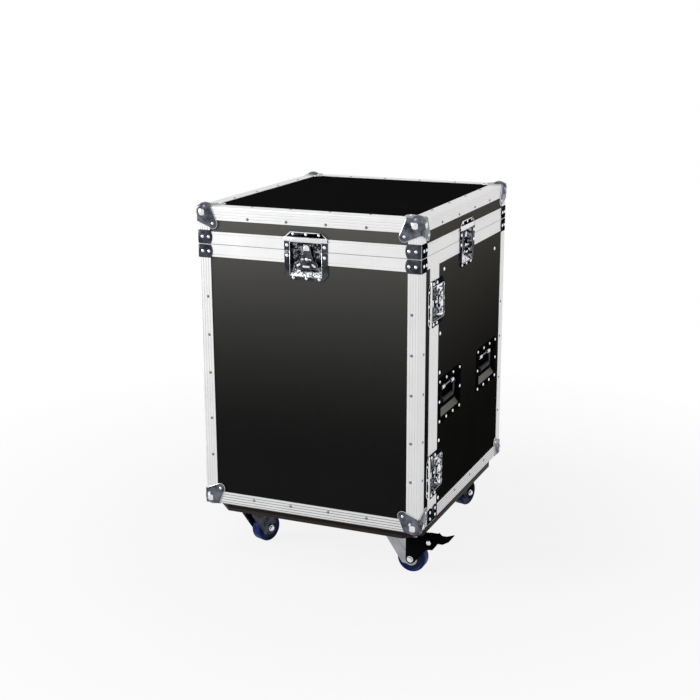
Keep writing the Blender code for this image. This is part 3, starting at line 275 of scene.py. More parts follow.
for sign in (1, -1):
    side, end = RIGHT * sign, FRONT * sign
    for x in (-0.1365, -0.0455, 0.0455, 0.1365):
        edge_rivet("lid", (x, end.y * HALF_DEPTH, BOX_TOP - LID_INSET), end)
        edge_rivet("lid", (x, end.y * (HALF_DEPTH - LID_INSET), BOX_TOP), UP)
        edge_rivet("cover" if sign > 0 else "case", (x, end.y * HALF_DEPTH, BOX_BOTTOM + FOOT_INSET), end)
    for y in (-0.165, -0.055, 0.055, 0.165):
        edge_rivet("lid", (HALF_WIDTH * sign, y, BOX_TOP - LID_INSET), side)
        edge_rivet("lid", ((HALF_WIDTH - LID_INSET) * sign, y, BOX_TOP), UP)
        if y > FIRST_BELOW:
            edge_rivet("case", (HALF_WIDTH * sign, y, BOX_BOTTOM + FOOT_INSET), side)
    for z in (0.116, 0.202, 0.3075, 0.394, 0.4805):
        level = UP * (BOX_BOTTOM + z)
        for face, body in ((FRONT, "cover"), (REAR, "case")):
            edge_rivet(body, face * HALF_DEPTH + side * (HALF_WIDTH - POST_INSET) + level, face)
            if z < LAST_UPRIGHT:
                edge_rivet(body, side * HALF_WIDTH + face * (HALF_DEPTH - POST_INSET) + level, side)


# Ball corners
# Each corner is one deep-drawn piece of zinc-plated steel: a 40 mm ball that takes the knocks, with
# painted highlights on it, and three petals, each riveted through its round lobe to a face of the case.

BALL_RADIUS = 0.02
BALL_SET = 0.013
PETAL_ROOT = 0.034
LOBE = 0.037
LOBE_RADIUS = 0.012

# Zinc plate on drawn steel: blue grey, with a soft mirror and cloudy patches left by the bath.
zinc = clouded("zinc_plate_blue", {"Metallic": 1.0}, ("#2f3239", "#6e717b"),
               patch=0.018, detail=6.0, gloss=(0.14, 0.3), span=(0.35, 0.65))

# Bright nickel of the rivets, springs and bolts. The same finish is the painted highlight on the balls,
# the petal rims, the brace bends and the latch rims.
nickel_and_highlight = clouded("bright_nickel_and_painted_highlight", {"Metallic": 1.0}, ("#c9cbcf", "#f2f3f4"),
                 patch=0.008, detail=4.0, gloss=(0.1, 0.24))


def arc(centre, radius, start, end, steps):
    """Points on an arc, angles in degrees."""
    turns = [math.radians(start + (end - start) * step / steps) for step in range(steps + 1)]
    return [(centre[0] + radius * math.cos(t), centre[1] + radius * math.sin(t)) for t in turns]


def prism(outline, low, high, *materials):
    """Solid from an outline in local X and Y, between two heights."""
    bm = bmesh.new()
    extrude_outline(bm, [(x, y, low) for x, y in outline], (0, 0, high - low))
    return new_piece("prism", bm, *materials)


def place(piece, matrix):
    """Move a piece's mesh by a matrix, keeping its faces outwards."""
    piece.data.transform(matrix)
    if matrix.determinant() < 0:
        piece.data.flip_normals()
    return piece


def copy_of(piece, matrix):
    """Another piece with the same mesh, moved by a matrix."""
    clone = bpy.data.objects.new("copy", piece.data.copy())
    scene.collection.objects.link(clone)
    return place(clone, matrix)


def seat(piece, matrix, name, body, slot, *nodes):
    """Settle a copy of a piece where a matrix puts it."""
    return settle(copy_of(piece, matrix), name, body, slot, *nodes)


def remove(*pieces):
    for piece in pieces:
        bpy.data.objects.remove(piece, do_unlink=True)


def from_axes(origin, across, along, outward):
    """Matrix that takes local X, Y and Z to three directions at an origin."""
    columns = [Vector(across), Vector(along), Vector(outward), Vector(origin)]
    return Matrix([[column[row] for column in columns] for row in range(3)] + [[0, 0, 0, 1]])


def bake(piece):
    """Keep what the modifiers make as the piece's own mesh."""
    made = piece.evaluated_get(bpy.context.evaluated_depsgraph_get())
    mesh = bpy.data.meshes.new_from_object(made)
    piece.modifiers.clear()
    piece.data = mesh
    return piece


def soften(piece, width, segments=2):
    """Round the edges that a press or an extrusion would leave soft."""
    bevel = piece.modifiers.new("soft edges", "BEVEL")
    bevel.width = width
    bevel.segments = segments
    bevel.limit_method = "ANGLE"
    bevel.angle_limit = math.radians(CRISP)
    return smooth(bake(piece))


ALONG_X = from_axes((0, 0, 0), REAR, UP, RIGHT)


def ball_corner():
    """Drawn for a corner at the local origin, with the case towards -X, -Y and -Z."""
    outline = [(0, 0), (0, -PETAL_ROOT)] + arc((-LOBE, -LOBE), LOBE_RADIUS, -45, -225, 14)
    petal = soften(prism(outline + [(-PETAL_ROOT, 0)], -0.0004, 0.0015, zinc, nickel_and_highlight), 0.0009)
    # Painted highlight along the rounded rims of the petals.
    paint_light(petal, lambda middle, facing: 0.3 < facing.z < 0.96 and middle.x < -0.003 and middle.y < -0.003)
    centre = Vector((-BALL_SET, -BALL_SET, -BALL_SET))
    bm = bmesh.new()
    bmesh.ops.create_uvsphere(bm, u_segments=56, v_segments=36, radius=BALL_RADIUS)
    bmesh.ops.translate(bm, vec=centre, verts=bm.verts)
    for face in bm.faces:
        face.smooth = True
    for matrix in (Matrix(), ALONG_X, from_axes((0, 0, 0), UP, RIGHT, REAR)):
        clone = copy_of(petal, matrix)
        bm.from_mesh(clone.data)
        remove(clone)
    remove(petal)
    # Painted highlights on the ball where it faces straight out to the sides and the ends.
    return paint_light(smooth(new_piece("ball_corner", bm, zinc, nickel_and_highlight)), lambda middle, facing:
                  max(facing.x - 0.02, facing.y) > 0.93
                  and abs((middle - centre).length - BALL_RADIUS) < 0.0008)


corner = ball_corner()
CORNERS = [("lid", side, end, 1) for side in (1, -1) for end in (1, -1)]
CORNERS += [("cover", side, -1, -1) for side in (1, -1)] + [("case", side, 1, -1) for side in (1, -1)]
for index, (body, side, end, level) in enumerate(CORNERS):
    tip = Vector((side * HALF_WIDTH, end * HALF_DEPTH, BOX_TOP if level > 0 else BOX_BOTTOM))
    mirror = Matrix.Translation(tip) @ Matrix.Diagonal((side, end, level, 1))
    seat(corner, mirror, f"ball_corner_{index}", body, "zinc")
    for axis in range(3):
        lobe = Vector((-LOBE, -LOBE, -LOBE))
        lobe[axis] = 0.0014
        outward = Vector([1 if i == axis else 0 for i in range(3)])
        rivet(body, mirror @ lobe, mirror.to_3x3() @ outward, 0.0036, 0.0018)
remove(corner)


# Closing profiles
# Extruded aluminium frames, mitred at the corners, cap the plywood at each seam. The body has the
# tongue, the lid and the cover the groove, and a line is drawn near the end of each outer leg.

INSIDE = SHEET + GAP + 0.009 + GAP
PROFILE = INSIDE + SHEET
INNER_LEG = 0.012
TONGUE_NEAR, TONGUE_FAR = (PROFILE - 0.003) / 2, (PROFILE + 0.003) / 2
LID_EDGE = LID_SEAM + SEAM_GAP / 2
BODY_TOP = LID_SEAM - SEAM_GAP / 2
BODY_FRONT = COVER_SEAM + SEAM_GAP / 2
COVER_BACK = COVER_SEAM - SEAM_GAP / 2


def profile_section(web, seam_side):
    """Distance inwards from the face and away from the seam."""
    outer = [(0.0009, 0), (0.0003, 0.0003), (0, 0.0009), (0, 0.0212), (0.0007, 0.022), (0, 0.0228),
             (0, CLOSING_LEG - 0.0004), (0.0004, CLOSING_LEG), (SHEET, CLOSING_LEG)]
    inner = [(SHEET, web), (INSIDE, web), (INSIDE, INNER_LEG), (PROFILE, INNER_LEG), (PROFILE, 0)]
    return outer + inner + seam_side


tongue = profile_section(0.002, [(TONGUE_FAR, 0), (TONGUE_FAR, -0.0046), (TONGUE_FAR - 0.0006, -0.005),
                                 (TONGUE_NEAR + 0.0006, -0.005), (TONGUE_NEAR, -0.0046), (TONGUE_NEAR, 0)])
groove = profile_section(0.0076, [(TONGUE_FAR + 0.0006, 0), (TONGUE_FAR + 0.0006, 0.0056),
                                  (TONGUE_NEAR - 0.0006, 0.0056), (TONGUE_NEAR - 0.0006, 0)])


def carry(bm, loops, closed):
    """Extrude a loop of edges from one place to the next; the path closes or its ends are capped."""
    verts = [bm.verts.new(point) for point in loops[0]]
    count = len(verts)
    for index in range(count):
        bm.edges.new((verts[index], verts[(index + 1) % count]))
    first, made = verts, list(verts)
    for points in list(loops[1:]) + ([loops[0]] if closed else []):
        edges = [bm.edges.get((verts[i], verts[(i + 1) % count])) for i in range(count)]
        grown = bmesh.ops.extrude_edge_only(bm, edges=edges)["geom"]
        fresh = {item for item in grown if isinstance(item, bmesh.types.BMVert)}
        verts = [next(e.other_vert(v) for e in v.link_edges if e.other_vert(v) in fresh) for v in verts]
        for vert, point in zip(verts, points):
            vert.co = point
        made += verts
    if closed:
        bmesh.ops.remove_doubles(bm, verts=made, dist=1e-6)
    else:
        bm.faces.new(first)
        bm.faces.new(verts)


def closing_profile(section, right_side):
    """Each mitred corner is a place on the seam, the way inwards and the way along the panel."""
    mirror = Matrix.Diagonal((-1, 1, 1))
    mitres = [tuple(map(Vector, mitre)) for mitre in right_side]
    mitres += [tuple(mirror @ vector for vector in mitre) for mitre in reversed(mitres)]
    bm = bmesh.new()
    carry(bm, [[seam + inward * x + along * y for x, y in section] for seam, inward, along in mitres], True)
    return new_piece("closing_profile", bm, anodised)


profiles = {
    "lid": closing_profile(groove, [
        ((HALF_WIDTH, -HALF_DEPTH, LID_EDGE), LEFT + REAR, UP),
        ((HALF_WIDTH, HALF_DEPTH, LID_EDGE), LEFT + FRONT, UP)]),
    "cover": closing_profile(groove, [
        ((HALF_WIDTH, COVER_BACK, BOX_BOTTOM), LEFT + UP, FRONT),
        ((HALF_WIDTH, COVER_BACK, BODY_TOP), LEFT, FRONT + DOWN),
        ((HALF_WIDTH, -HALF_DEPTH, BODY_TOP), LEFT + REAR, DOWN)]),
    "case": closing_profile(tongue, [
        ((HALF_WIDTH, BODY_FRONT, BOX_BOTTOM), LEFT + UP, REAR),
        ((HALF_WIDTH, BODY_FRONT, BODY_TOP), LEFT, REAR + DOWN),
        ((HALF_WIDTH, HALF_DEPTH, BODY_TOP), LEFT + FRONT, DOWN)])}


# Corner braces
# A blank of plated steel with two round ends is bent square round each corner of a closing profile
# and held by two rivets on each leg. The bend carries a painted highlight.

BRACE_LEG = 0.034
BRACE_LOW, BRACE_HIGH = 0.001, 0.03
BRACE_BEND = 0.003
BEND_RADIUS = BRACE_BEND * 4 / math.pi
BEND_CENTRE = Vector((-BEND_RADIUS, -BEND_RADIUS, 0))

# Plated dark steel: a smoky mirror that turns almost black between the highlights and stays dark when it
# is seen at a low angle. The same finish is painted shade on the rivet collars and the unbraked forks,
# and a painted dark reflection on the chrome latch sheets, rotors and wings.
dark_steel_and_shade = clouded("plated_steel_dark_and_painted_shade", {"Metallic": 1.0, "Specular Tint": colour("#7c7e84")},
                     ("#26282e", "#4b4e57"), patch=0.012, detail=5.0, gloss=(0.16, 0.34), span=(0.35, 0.65))


def mirrored(right):
    """Outline from its right half."""
    return right + [(-x, y) for x, y in reversed(right)]


def corner_brace():
    """Bent round the local Z axis at the origin, legs towards -X and -Y, height along +Z."""
    height = BRACE_HIGH - BRACE_LOW
    end = BRACE_LEG - 0.004
    outline = mirrored([(end, 0)] + arc((end - 0.0225, height / 2), 0.0265, -28, 28, 8) + [(end, height)])
    bm = bmesh.new()
    extrude_outline(bm, [(x, y + BRACE_LOW, -0.0005) for x, y in outline], (0, 0, 0.0018))
    for step in range(-4, 5):
        bmesh.ops.bisect_plane(bm, geom=bm.verts[:] + bm.edges[:] + bm.faces[:],
                               plane_co=(BRACE_BEND * step / 4, 0, 0), plane_no=(1, 0, 0))
    for vert in bm.verts:
        run, level, lift = vert.co
        turn = math.pi / 4 * (1 + max(-1.0, min(1.0, run / BRACE_BEND)))
        straight = math.copysign(max(0.0, abs(run) - BRACE_BEND), run)
        radial = Vector((math.cos(turn), math.sin(turn), 0))
        tangent = Vector((-radial.y, radial.x, 0))
        vert.co = BEND_CENTRE + radial * (BEND_RADIUS + lift) + tangent * straight + UP * level
    solid = soften(new_piece("brace", bm, dark_steel_and_shade, nickel_and_highlight), 0.0005)
    # Painted highlight on the faces of the bend.
    return paint_light(solid, lambda middle, facing: min(facing.x, facing.y) > 0.35)


brace = corner_brace()
BRACES = []
for side in (RIGHT, LEFT):
    edge = side * HALF_WIDTH
    for end in (FRONT, REAR):
        BRACES.append(("lid", edge + end * HALF_DEPTH + UP * LID_EDGE, side, end, UP))
    BRACES.append(("cover", edge + FRONT * HALF_DEPTH + UP * BODY_TOP, side, FRONT, DOWN))
    BRACES.append(("case", edge + REAR * HALF_DEPTH + UP * BODY_TOP, side, REAR, DOWN))
    BRACES.append(("cover", edge + REAR * COVER_BACK + UP * BOX_BOTTOM, side, DOWN, FRONT))
    BRACES.append(("case", edge + REAR * BODY_FRONT + UP * BOX_BOTTOM, side, DOWN, REAR))
for index, (body, seam, first, second, along) in enumerate(BRACES):
    matrix = from_axes(seam, first, second, along)
    seat(brace, matrix, f"corner_brace_{index}", body, "edge")
    for back in (0.0115, 0.0265):
        rivet(body, matrix @ Vector((0.0012, -back, 0.0155)), first, 0.004, 0.002)
        rivet(body, matrix @ Vector((-back, 0.0012, 0.0155)), second, 0.004, 0.002)
remove(brace)


# Butterfly latches
# Pressed steel latches join the lid and the cover to the body: a dish with a square pan, a rotor with
# a hook, a folding wing on a pin, and on the other side of the seam a striker with the hook's catch.
# They are drawn with the rotor axis at the local origin, the striker towards +Y and +Z outwards.

LATCH_AXIS = 0.018
SEAM_SIDE = LATCH_AXIS - SEAM_GAP / 2
STRIKER_SIDE = LATCH_AXIS + SEAM_GAP / 2
HALF_LATCH = 0.05
PAN = 0.073
PAN_WALL = 0.001
PAN_FLOOR = -0.0096
PAN_CORNER = 0.003
CATCH_TOP = PAN_FLOOR + 0.004
HOOK_LEVEL = CATCH_TOP + GAP
ROTOR_TOP = HOOK_LEVEL + 0.002
PIN_LEVEL = ROTOR_TOP + GAP + 0.0017
HOOK_REACH = 0.031
LATCH_INSET = 0.1075

# Painted shade and reflections in the pans: dark and bright streaks drawn over the plate of the hollow.
pan_shade_and_reflections = clouded("pan_steel_painted_shade_and_reflections", {"Metallic": 1.0}, ("#1b1c21", "#8d9098"),
                        patch=0.011, detail=2.0, gloss=(0.14, 0.26), span=(0.5, 0.6), twist=1.5)

# Painted light on the plate where it slopes towards the light: streaked between mid grey and white.
painted_lit_slope = clouded("nickel_plate_painted_light_on_slopes", {"Metallic": 1.0}, ("#4d5058", "#eeeff1"),
                          patch=0.009, detail=2.0, gloss=(0.12, 0.24), span=(0.42, 0.52), twist=1.5)
# On the chrome latches the dark steel of the sheet is a painted dark reflection, and the nickel on rims and
# bands a painted highlight.
PRESSED = (dark_steel_and_shade, nickel_and_highlight, pan_shade_and_reflections, painted_lit_slope)
PAN_SHADE, LIT_SLOPE = 2, 3
# Rotors and wings are chrome: nickel, with a painted dark reflection on their flats.
TURNING = (nickel_and_highlight, dark_steel_and_shade)


def combine(piece, operation, *tools):
    """Boolean of a piece with one tool after another, which are used up."""
    for tool in tools:
        modifier = piece.modifiers.new("boolean", "BOOLEAN")
        modifier.operation = operation
        modifier.object = tool
        modifier.solver = "EXACT"
        bake(piece)
        remove(tool)
    return piece


def join(piece, *tools):
    return combine(piece, "UNION", *tools)


def cut(piece, *tools):
    return combine(piece, "DIFFERENCE", *tools)


def box(low, high, *materials):
    """Block between two opposite corners."""
    bm = bmesh.new()
    bmesh.ops.create_cube(bm, size=1.0)
    bmesh.ops.scale(bm, vec=Vector(high) - Vector(low), verts=bm.verts)
    bmesh.ops.translate(bm, vec=(Vector(high) + Vector(low)) / 2, verts=bm.verts)
    return new_piece("box", bm, *materials)


def cylinder(radius, low, high, segments, *materials, top=None):
    """Upright cylinder on the local Z axis, or a cone towards another top radius."""
    bm = bmesh.new()
    bmesh.ops.create_cone(bm, cap_ends=True, segments=segments, radius1=radius,
                          radius2=radius if top is None else top, depth=high - low)
    bmesh.ops.translate(bm, vec=(0, 0, (low + high) / 2), verts=bm.verts)
    return new_piece("cylinder", bm, *materials)


def rounded(width, height, radius, steps=6, shift=0.0):
    """Rounded rectangle round the local origin, its upper right corner first."""
    points = []
    for quarter in range(4):
        centre = ((width / 2 - radius) * (1 if quarter in (0, 3) else -1),
                  (height / 2 - radius) * (1 if quarter in (0, 1) else -1) + shift)
        points += arc(centre, radius, 90 * quarter, 90 * quarter + 90, steps)
    return points


def pan_hollow():
    """The lower side slopes, so that a hand gets under the wing."""
    mouth = rounded(PAN, PAN, PAN_CORNER, 5)
    floor = rounded(PAN - 0.006, PAN - 0.016, PAN_CORNER / 2, 5, 0.005)
    bm = bmesh.new()
    carry(bm, [[(x, y, 0.006) for x, y in mouth], [(x, y, -0.0002) for x, y in mouth],
               [(x, y, PAN_FLOOR) for x, y in floor]], False)
    return new_piece("hollow", bm)


def pressed_sheet(*stations):
    """Sheet across the latch through points of local Y and outer Z, 1.2 mm thick."""
    outline = list(stations) + [(y, z - 0.0012) for y, z in reversed(stations)]
    return place(prism(outline, -HALF_LATCH, HALF_LATCH, *PRESSED), ALONG_X)


def pan_shell(seam, side):
    """Outside of the pan on one side of the seam: 1 for the dish and -1 for the striker."""
    half = PAN / 2 + PAN_WALL
    outline = rounded(2 * half, 2 * half, PAN_CORNER + PAN_WALL, 5)
    outline = [(side * half, seam), (-side * half, seam)] + (outline[12:] if side > 0 else outline[:12])
    return prism(outline, PAN_FLOOR - PAN_WALL, 0.0024, *PRESSED)


def finish_press(solid):
    """Painted shade and reflections in the pan, painted highlights on the rims, the band and the nose,
    and painted light on the pan's lower slope and other slopes that face up.
    """
    soften(solid, 0.0005)
    # Painted shade and reflections in the pan.
    paint_light(solid, lambda middle, facing:
           middle.z < -0.0012 and max(abs(middle.x), abs(middle.y)) < PAN / 2, PAN_SHADE)
    # Painted highlights on the rims, the striker's band and its nose.
    paint_light(solid, lambda middle, facing: facing.z > 0.5 and middle.z > 0.0019)
    paint_light(solid, lambda middle, facing:
           0.0375 < middle.y < 0.0465 and facing.z > 0.8 and middle.z > -0.0004)
    paint_light(solid, lambda middle, facing: facing.z > 0.5 and middle.y > 0.0465 and middle.z > 0.0002)
    # Painted light on the slopes that face up.
    return paint_light(solid, lambda middle, facing: 0.25 < facing.z < 0.93 and facing.y > 0.2, LIT_SLOPE)


def latch_dish():
    """Sheet with a step and two corners cut off, and its part of the pan."""
    step = SEAM_SIDE - 0.0276
    solid = pressed_sheet((SEAM_SIDE, 0.0016), (step + 0.001, 0.0016), (step - 0.003, -0.0002),
                          (-0.045, -0.0002))
    for side in (1, -1):
        notch = [(side * 0.052, -0.047), (side * 0.036, -0.047), (side * 0.052, -0.031)]
        cut(solid, prism(notch, -0.01, 0.01))
    join(solid, pan_shell(SEAM_SIDE, 1))
    return finish_press(cut(solid, pan_hollow()))


def latch_striker():
    """Sheet with a rounded band, a nose with a bead round it, its part of the pan and the catch."""
    solid = pressed_sheet((0.0475, -0.0001), (0.0465, 0.0016), (0.042, 0.003), (0.0375, 0.0017),
                          (STRIKER_SIDE, 0.0017))
    nose = [(0.0495, 0.0462), (0.036, 0.058), (-0.036, 0.058), (-0.0495, 0.0462)]
    inner = [(0.045, 0.047), (0.0348, 0.056), (-0.0348, 0.056), (-0.045, 0.047)]
    bead = cut(prism(nose, -0.0002, 0.0009, *PRESSED), prism(inner, -0.001, 0.002, dark_steel_and_shade))
    join(solid, prism(nose, -0.0012, 0.0, *PRESSED), bead, pan_shell(STRIKER_SIDE, -1))
    cut(solid, pan_hollow())
    catch = box((-0.009, HOOK_REACH - 0.0058, PAN_FLOOR - 0.0005), (0.009, HOOK_REACH - 0.0003, CATCH_TOP),
                *PRESSED)
    return finish_press(join(solid, catch))


def paint_flats_dark(solid, level):
    """Painted dark reflection on the flat faces below a level; what stands above it keeps its bright
    finish.
    """
    return paint_light(solid, lambda middle, facing: facing.z > 0.97 and middle.z < level)


def latch_rotor():
    """Disc and hook with a raised nose, and two ears for the wing's pin."""
    hook = [(0.012, 0)] + arc((0, HOOK_REACH - 0.0085), 0.0085, 15, 165, 10) + [(-0.012, 0)]
    nose = arc((0, HOOK_REACH - 0.0078), 0.007, 0, 180, 10) + [(-0.007, 0.0185), (0.007, 0.0185)]
    solid = cylinder(0.0105, PAN_FLOOR + GAP, ROTOR_TOP - 0.0005, 32, *TURNING)
    join(solid, cylinder(0.014, HOOK_LEVEL, ROTOR_TOP, 48, *TURNING),
         prism(hook, HOOK_LEVEL + 0.0001, ROTOR_TOP - 0.0001, *TURNING),
         prism(nose, ROTOR_TOP - 0.0003, ROTOR_TOP + 0.0018, *TURNING))
    for low, high in ((0.01005, 0.01205), (-0.01205, -0.01005)):
        join(solid, box((low, -0.0017, HOOK_LEVEL + 0.001), (high, 0.0017, PIN_LEVEL + 0.0017), *TURNING))
    return paint_flats_dark(soften(solid, 0.0004), ROTOR_TOP + 0.0005)


def wing_rib(length, shift=0.0):
    """Embossed rib of a length on the wing, shifted along local Y."""
    outline = rounded(length, 0.004, 0.0019, 3, shift)
    return prism(outline, PIN_LEVEL + 0.0005, PIN_LEVEL + 0.0016, *TURNING)


def latch_wing():
    """Two lobes joined by a bar, short barrels round the pin and an embossed rib on each lobe."""
    right = [(0.0055, 0.0004), (0.0097, 0.0004), (0.0097, -0.0031), (0.015, -0.0031)]
    right += arc((0.0205, -0.0115), 0.0062, 55, -75, 10)
    right += [(0.013, -0.0215), (0.007, -0.0205), (0, -0.0195)]
    left = [(-x, y) for x, y in reversed(right[:-1])]
    outline = right + left + [(-0.0055, -0.0048), (0.0055, -0.0048)]
    solid = prism(outline, PIN_LEVEL - 0.0011, PIN_LEVEL + 0.0009, *TURNING)
    for sign in (1, -1):
        barrel = cylinder(0.0017, *sorted((sign * 0.0055, sign * 0.0097)), 20, *TURNING)
        tilt = Matrix.Rotation(math.radians(-35 * sign), 4, "Z")
        join(solid, place(barrel, Matrix.Translation((0, 0, PIN_LEVEL)) @ ALONG_X),
             place(wing_rib(0.0098), Matrix.Translation((sign * 0.0175, -0.0125, 0)) @ tilt))
    join(solid, wing_rib(0.016, -0.0152))
    return paint_flats_dark(soften(solid, 0.0003), PIN_LEVEL + 0.0012)


dish, striker, rotor, wing = latch_dish(), latch_striker(), latch_rotor(), latch_wing()
LATCHES = []
for name, outward, across, half, low in (
        ("front", FRONT, RIGHT, HALF_DEPTH, "cover"), ("rear", REAR, LEFT, HALF_DEPTH, "case"),
        ("right", RIGHT, REAR, HALF_WIDTH, "case"), ("left", LEFT, FRONT, HALF_WIDTH, "case")):
    axis = outward * half + UP * (LID_SEAM - LATCH_AXIS)
    LATCHES.append(("lid_" + name, from_axes(axis, across, UP, outward), low, "lid"))
for name, outward, across in (("right", RIGHT, UP), ("left", LEFT, DOWN)):
    for level, height in (("upper", LID_SEAM - LATCH_INSET), ("lower", BOX_BOTTOM + LATCH_INSET)):
        axis = outward * HALF_WIDTH + REAR * (COVER_SEAM + LATCH_AXIS) + UP * height
        LATCHES.append((f"cover_{name}_{level}", from_axes(axis, across, FRONT, outward), "case", "cover"))

pocket_size = PAN + 2 * (PAN_WALL + GAP)
pocket = prism(rounded(pocket_size, pocket_size, PAN_CORNER + PAN_WALL + GAP, 5), PAN_FLOOR - 0.0013, 0.004)
for name, matrix, low, high in LATCHES:
    latch = "latch_" + name
    outward = matrix.to_3x3() @ UP
    seat(dish, matrix, latch + "_pan", low, "chrome", latch + "_dish")
    seat(striker, matrix, latch + "_striker", high, "chrome")
    seat(rotor, matrix, latch + "_rotor", latch + "_cam", "chrome", latch + "_cam")
    seat(wing, matrix, latch + "_grip", latch + "_wing", "chrome", latch + "_wing")
    for body in (low, high):
        cut(profiles[body], copy_of(pocket, matrix))
    rivet(latch + "_cam", matrix @ Vector((0, 0, ROTOR_TOP - 0.0001)), outward, 0.0042, 0.0026)
    for x in (-0.03, 0, 0.03):
        rivet(high, matrix @ Vector((x, 0.053, -0.0002)), outward, 0.0036, 0.002)
        rivet(low, matrix @ Vector((x, -0.0408, -0.0004)), outward, 0.0038, 0.002)
    for x in (-0.0433, 0.0433):
        rivet(high, matrix @ Vector((x, 0.0285, 0.0015)), outward, 0.0042, 0.002)
        rivet(low, matrix @ Vector((x, 0.0065, 0.0014)), outward, 0.0042, 0.002)
remove(pocket, dish, striker, rotor, wing)
for body, name in (("lid", "lid"), ("cover", "cover"), ("case", "body")):
    settle(smooth(profiles[body], 20), name + "_profile", body, "edge", name + "_closing_frame")


# Recessed handles
# Deep-drawn black steel dishes are riveted into each side. A bent bar with a moulded rubber grip
# hangs from two ears, and two wire springs fold it back. The lower slope carries a painted reflection.
# They are drawn with the middle of the plate at the local origin, +Y up and +Z outwards.

HANDLE_PLATE = (0.152, 0.104)
HANDLE_MOUTH = (0.12, 0.074)
HANDLE_DEPTH = 0.016
PIVOT_HEIGHT, PIVOT_LEVEL = 0.024, -0.0075
BAR_RADIUS = 0.0033
BAR_DROP = 0.031
GRIP_HALF = 0.033
WIRE_RADIUS = 0.0007

# Black powder paint on steel: dead matt, blacker than the film round it.
black_paint = clouded("black_powder_paint", {"Specular IOR Level": 0.0}, ("#0b0b0d", "#17171a"),
                      patch=0.03, detail=4.0, gloss=(0.34, 0.5))
grained(black_paint, 0.0012, 2.0, 0.4, 0.00008)

# The same paint with a painted reflection on the lower slope: an olive grey haze over the black.
slope_reflection_paint = clouded("black_paint_painted_reflection", {"Specular IOR Level": 0.3}, ("#55544a", "#7d7c6e"),
                       patch=0.02, detail=5.0, gloss=(0.38, 0.55))

# Black rubber: matt, a little dusty in the rings of the grip.
rubber = clouded("moulded_black_rubber", {"Specular IOR Level": 0.3}, ("#101011", "#262628"),
                 patch=0.006, detail=4.0, gloss=(0.55, 0.75))


def dish_solid(*levels):
    """Solid through the dish's outline at levels. Each has how far the outline grows, its share of the way
    from the mouth to the floor, which lies nearer the top, and its height."""
    bm = bmesh.new()
    carry(bm, [[(x, y, height) for x, y in rounded(
        HANDLE_MOUTH[0] - 0.018 * share + 2 * grow, HANDLE_MOUTH[1] - 0.031 * share + 2 * grow,
        0.006 + grow, 5, 0.0095 * share)] for grow, share, height in levels], False)
    return new_piece("dish", bm, black_paint)


def handle_dish():
    """Plate, drawn dish and its raised rim, with two ears that are bored for the bar."""
    plate = prism(rounded(*HANDLE_PLATE, 0.01), -0.0014, -0.0002, black_paint, slope_reflection_paint)
    join(plate, dish_solid((0.0012, 0, -0.0008), (0.0012, 1, -HANDLE_DEPTH - 0.0012)),
         dish_solid((0.0034, 0, -0.0006), (0.003, 0, 0.0002), (0.0018, 0, 0.0008), (0.0006, 0, 0.0006),
                    (0.0004, 0, -0.0006)))
    cut(plate, dish_solid((0, 0, 0.003), (0, 0, -0.0004), (0, 0.5, -0.0002 - HANDLE_DEPTH / 2),
                          (0, 1, -HANDLE_DEPTH)))
    pivot = Matrix.Translation((0, PIVOT_HEIGHT, PIVOT_LEVEL)) @ ALONG_X
    for sign in (1, -1):
        low, high = sorted((sign * 0.0488, sign * 0.0518))
        join(plate, box((low, 0.019, -HANDLE_DEPTH - 0.0006), (high, 0.029, -0.0024), black_paint))
        cut(plate, place(cylinder(BAR_RADIUS + GAP, *sorted((sign * 0.046, sign * 0.0535)), 24), pivot))
    # Painted reflection: the lower slope of the dish takes the olive grey paint.
    return paint_light(soften(plate, 0.0005), lambda middle, facing:
                  facing.y > 0.35 and middle.y < -0.022 and -0.009 < middle.z < -0.0008)


def ring(centre, first, second, radius, sides, phase=0.0):
    """Points of a circle round a place, in the plane of two directions."""
    turns = [math.tau * (step + phase) / sides for step in range(sides)]
    return [centre + (first * math.cos(turn) + second * math.sin(turn)) * radius for turn in turns]


def handle_bar():
    """Round steel bent down at both ends of the grip, its ends on the pivot line."""
    half, bend = 0.044, 0.0045
    right = [(0.0527, 0)] + arc((half + bend, -bend), bend, 90, 180, 6)
    right += arc((half - bend, bend - BAR_DROP), bend, 0, -90, 6)
    path = [Vector((x, y, 0)) for x, y in mirrored(right)]
    loops = []
    for index, centre in enumerate(path):
        run = path[min(index + 1, len(path) - 1)] - path[max(index - 1, 0)]
        loops.append(ring(centre, UP.cross(run).normalized(), UP, BAR_RADIUS, 16, 0.5))
    bm = bmesh.new()
    carry(bm, loops, False)
    return smooth(new_piece("bar", bm, dark_steel_and_shade))


def turned(profile, steps, finish):
    """Solid turned round the local Z axis from a closed profile of radius and height."""
    bm = bmesh.new()
    verts = [bm.verts.new((radius, 0, height)) for radius, height in profile]
    edges = [bm.edges.new((verts[i - 1], verts[i])) for i in range(len(verts))]
    bmesh.ops.spin(bm, geom=verts + edges, cent=(0, 0, 0), axis=(0, 0, 1), angle=math.tau, steps=steps,
                   use_merge=True)
    bmesh.ops.remove_doubles(bm, verts=bm.verts, dist=1e-6)
    return new_piece("turned", bm, finish)


def handle_grip():
    """Sleeve with round ends and nine shallow rings."""
    profile = [(0.0031, -GRIP_HALF), (0.0046, -GRIP_HALF), (0.0055, 0.0012 - GRIP_HALF)]
    for step in range(9):
        middle = (GRIP_HALF - 0.006) * (step / 4 - 1)
        profile += [(0.0055, middle - 0.0012), (0.0051, middle - 0.0006), (0.0051, middle + 0.0006),
                    (0.0055, middle + 0.0012)]
    profile += [(0.0055, GRIP_HALF - 0.0012), (0.0046, GRIP_HALF), (0.0031, GRIP_HALF)]
    return place(smooth(turned(profile, 28, rubber), 50), Matrix.Translation((0, -BAR_DROP, 0)) @ ALONG_X)


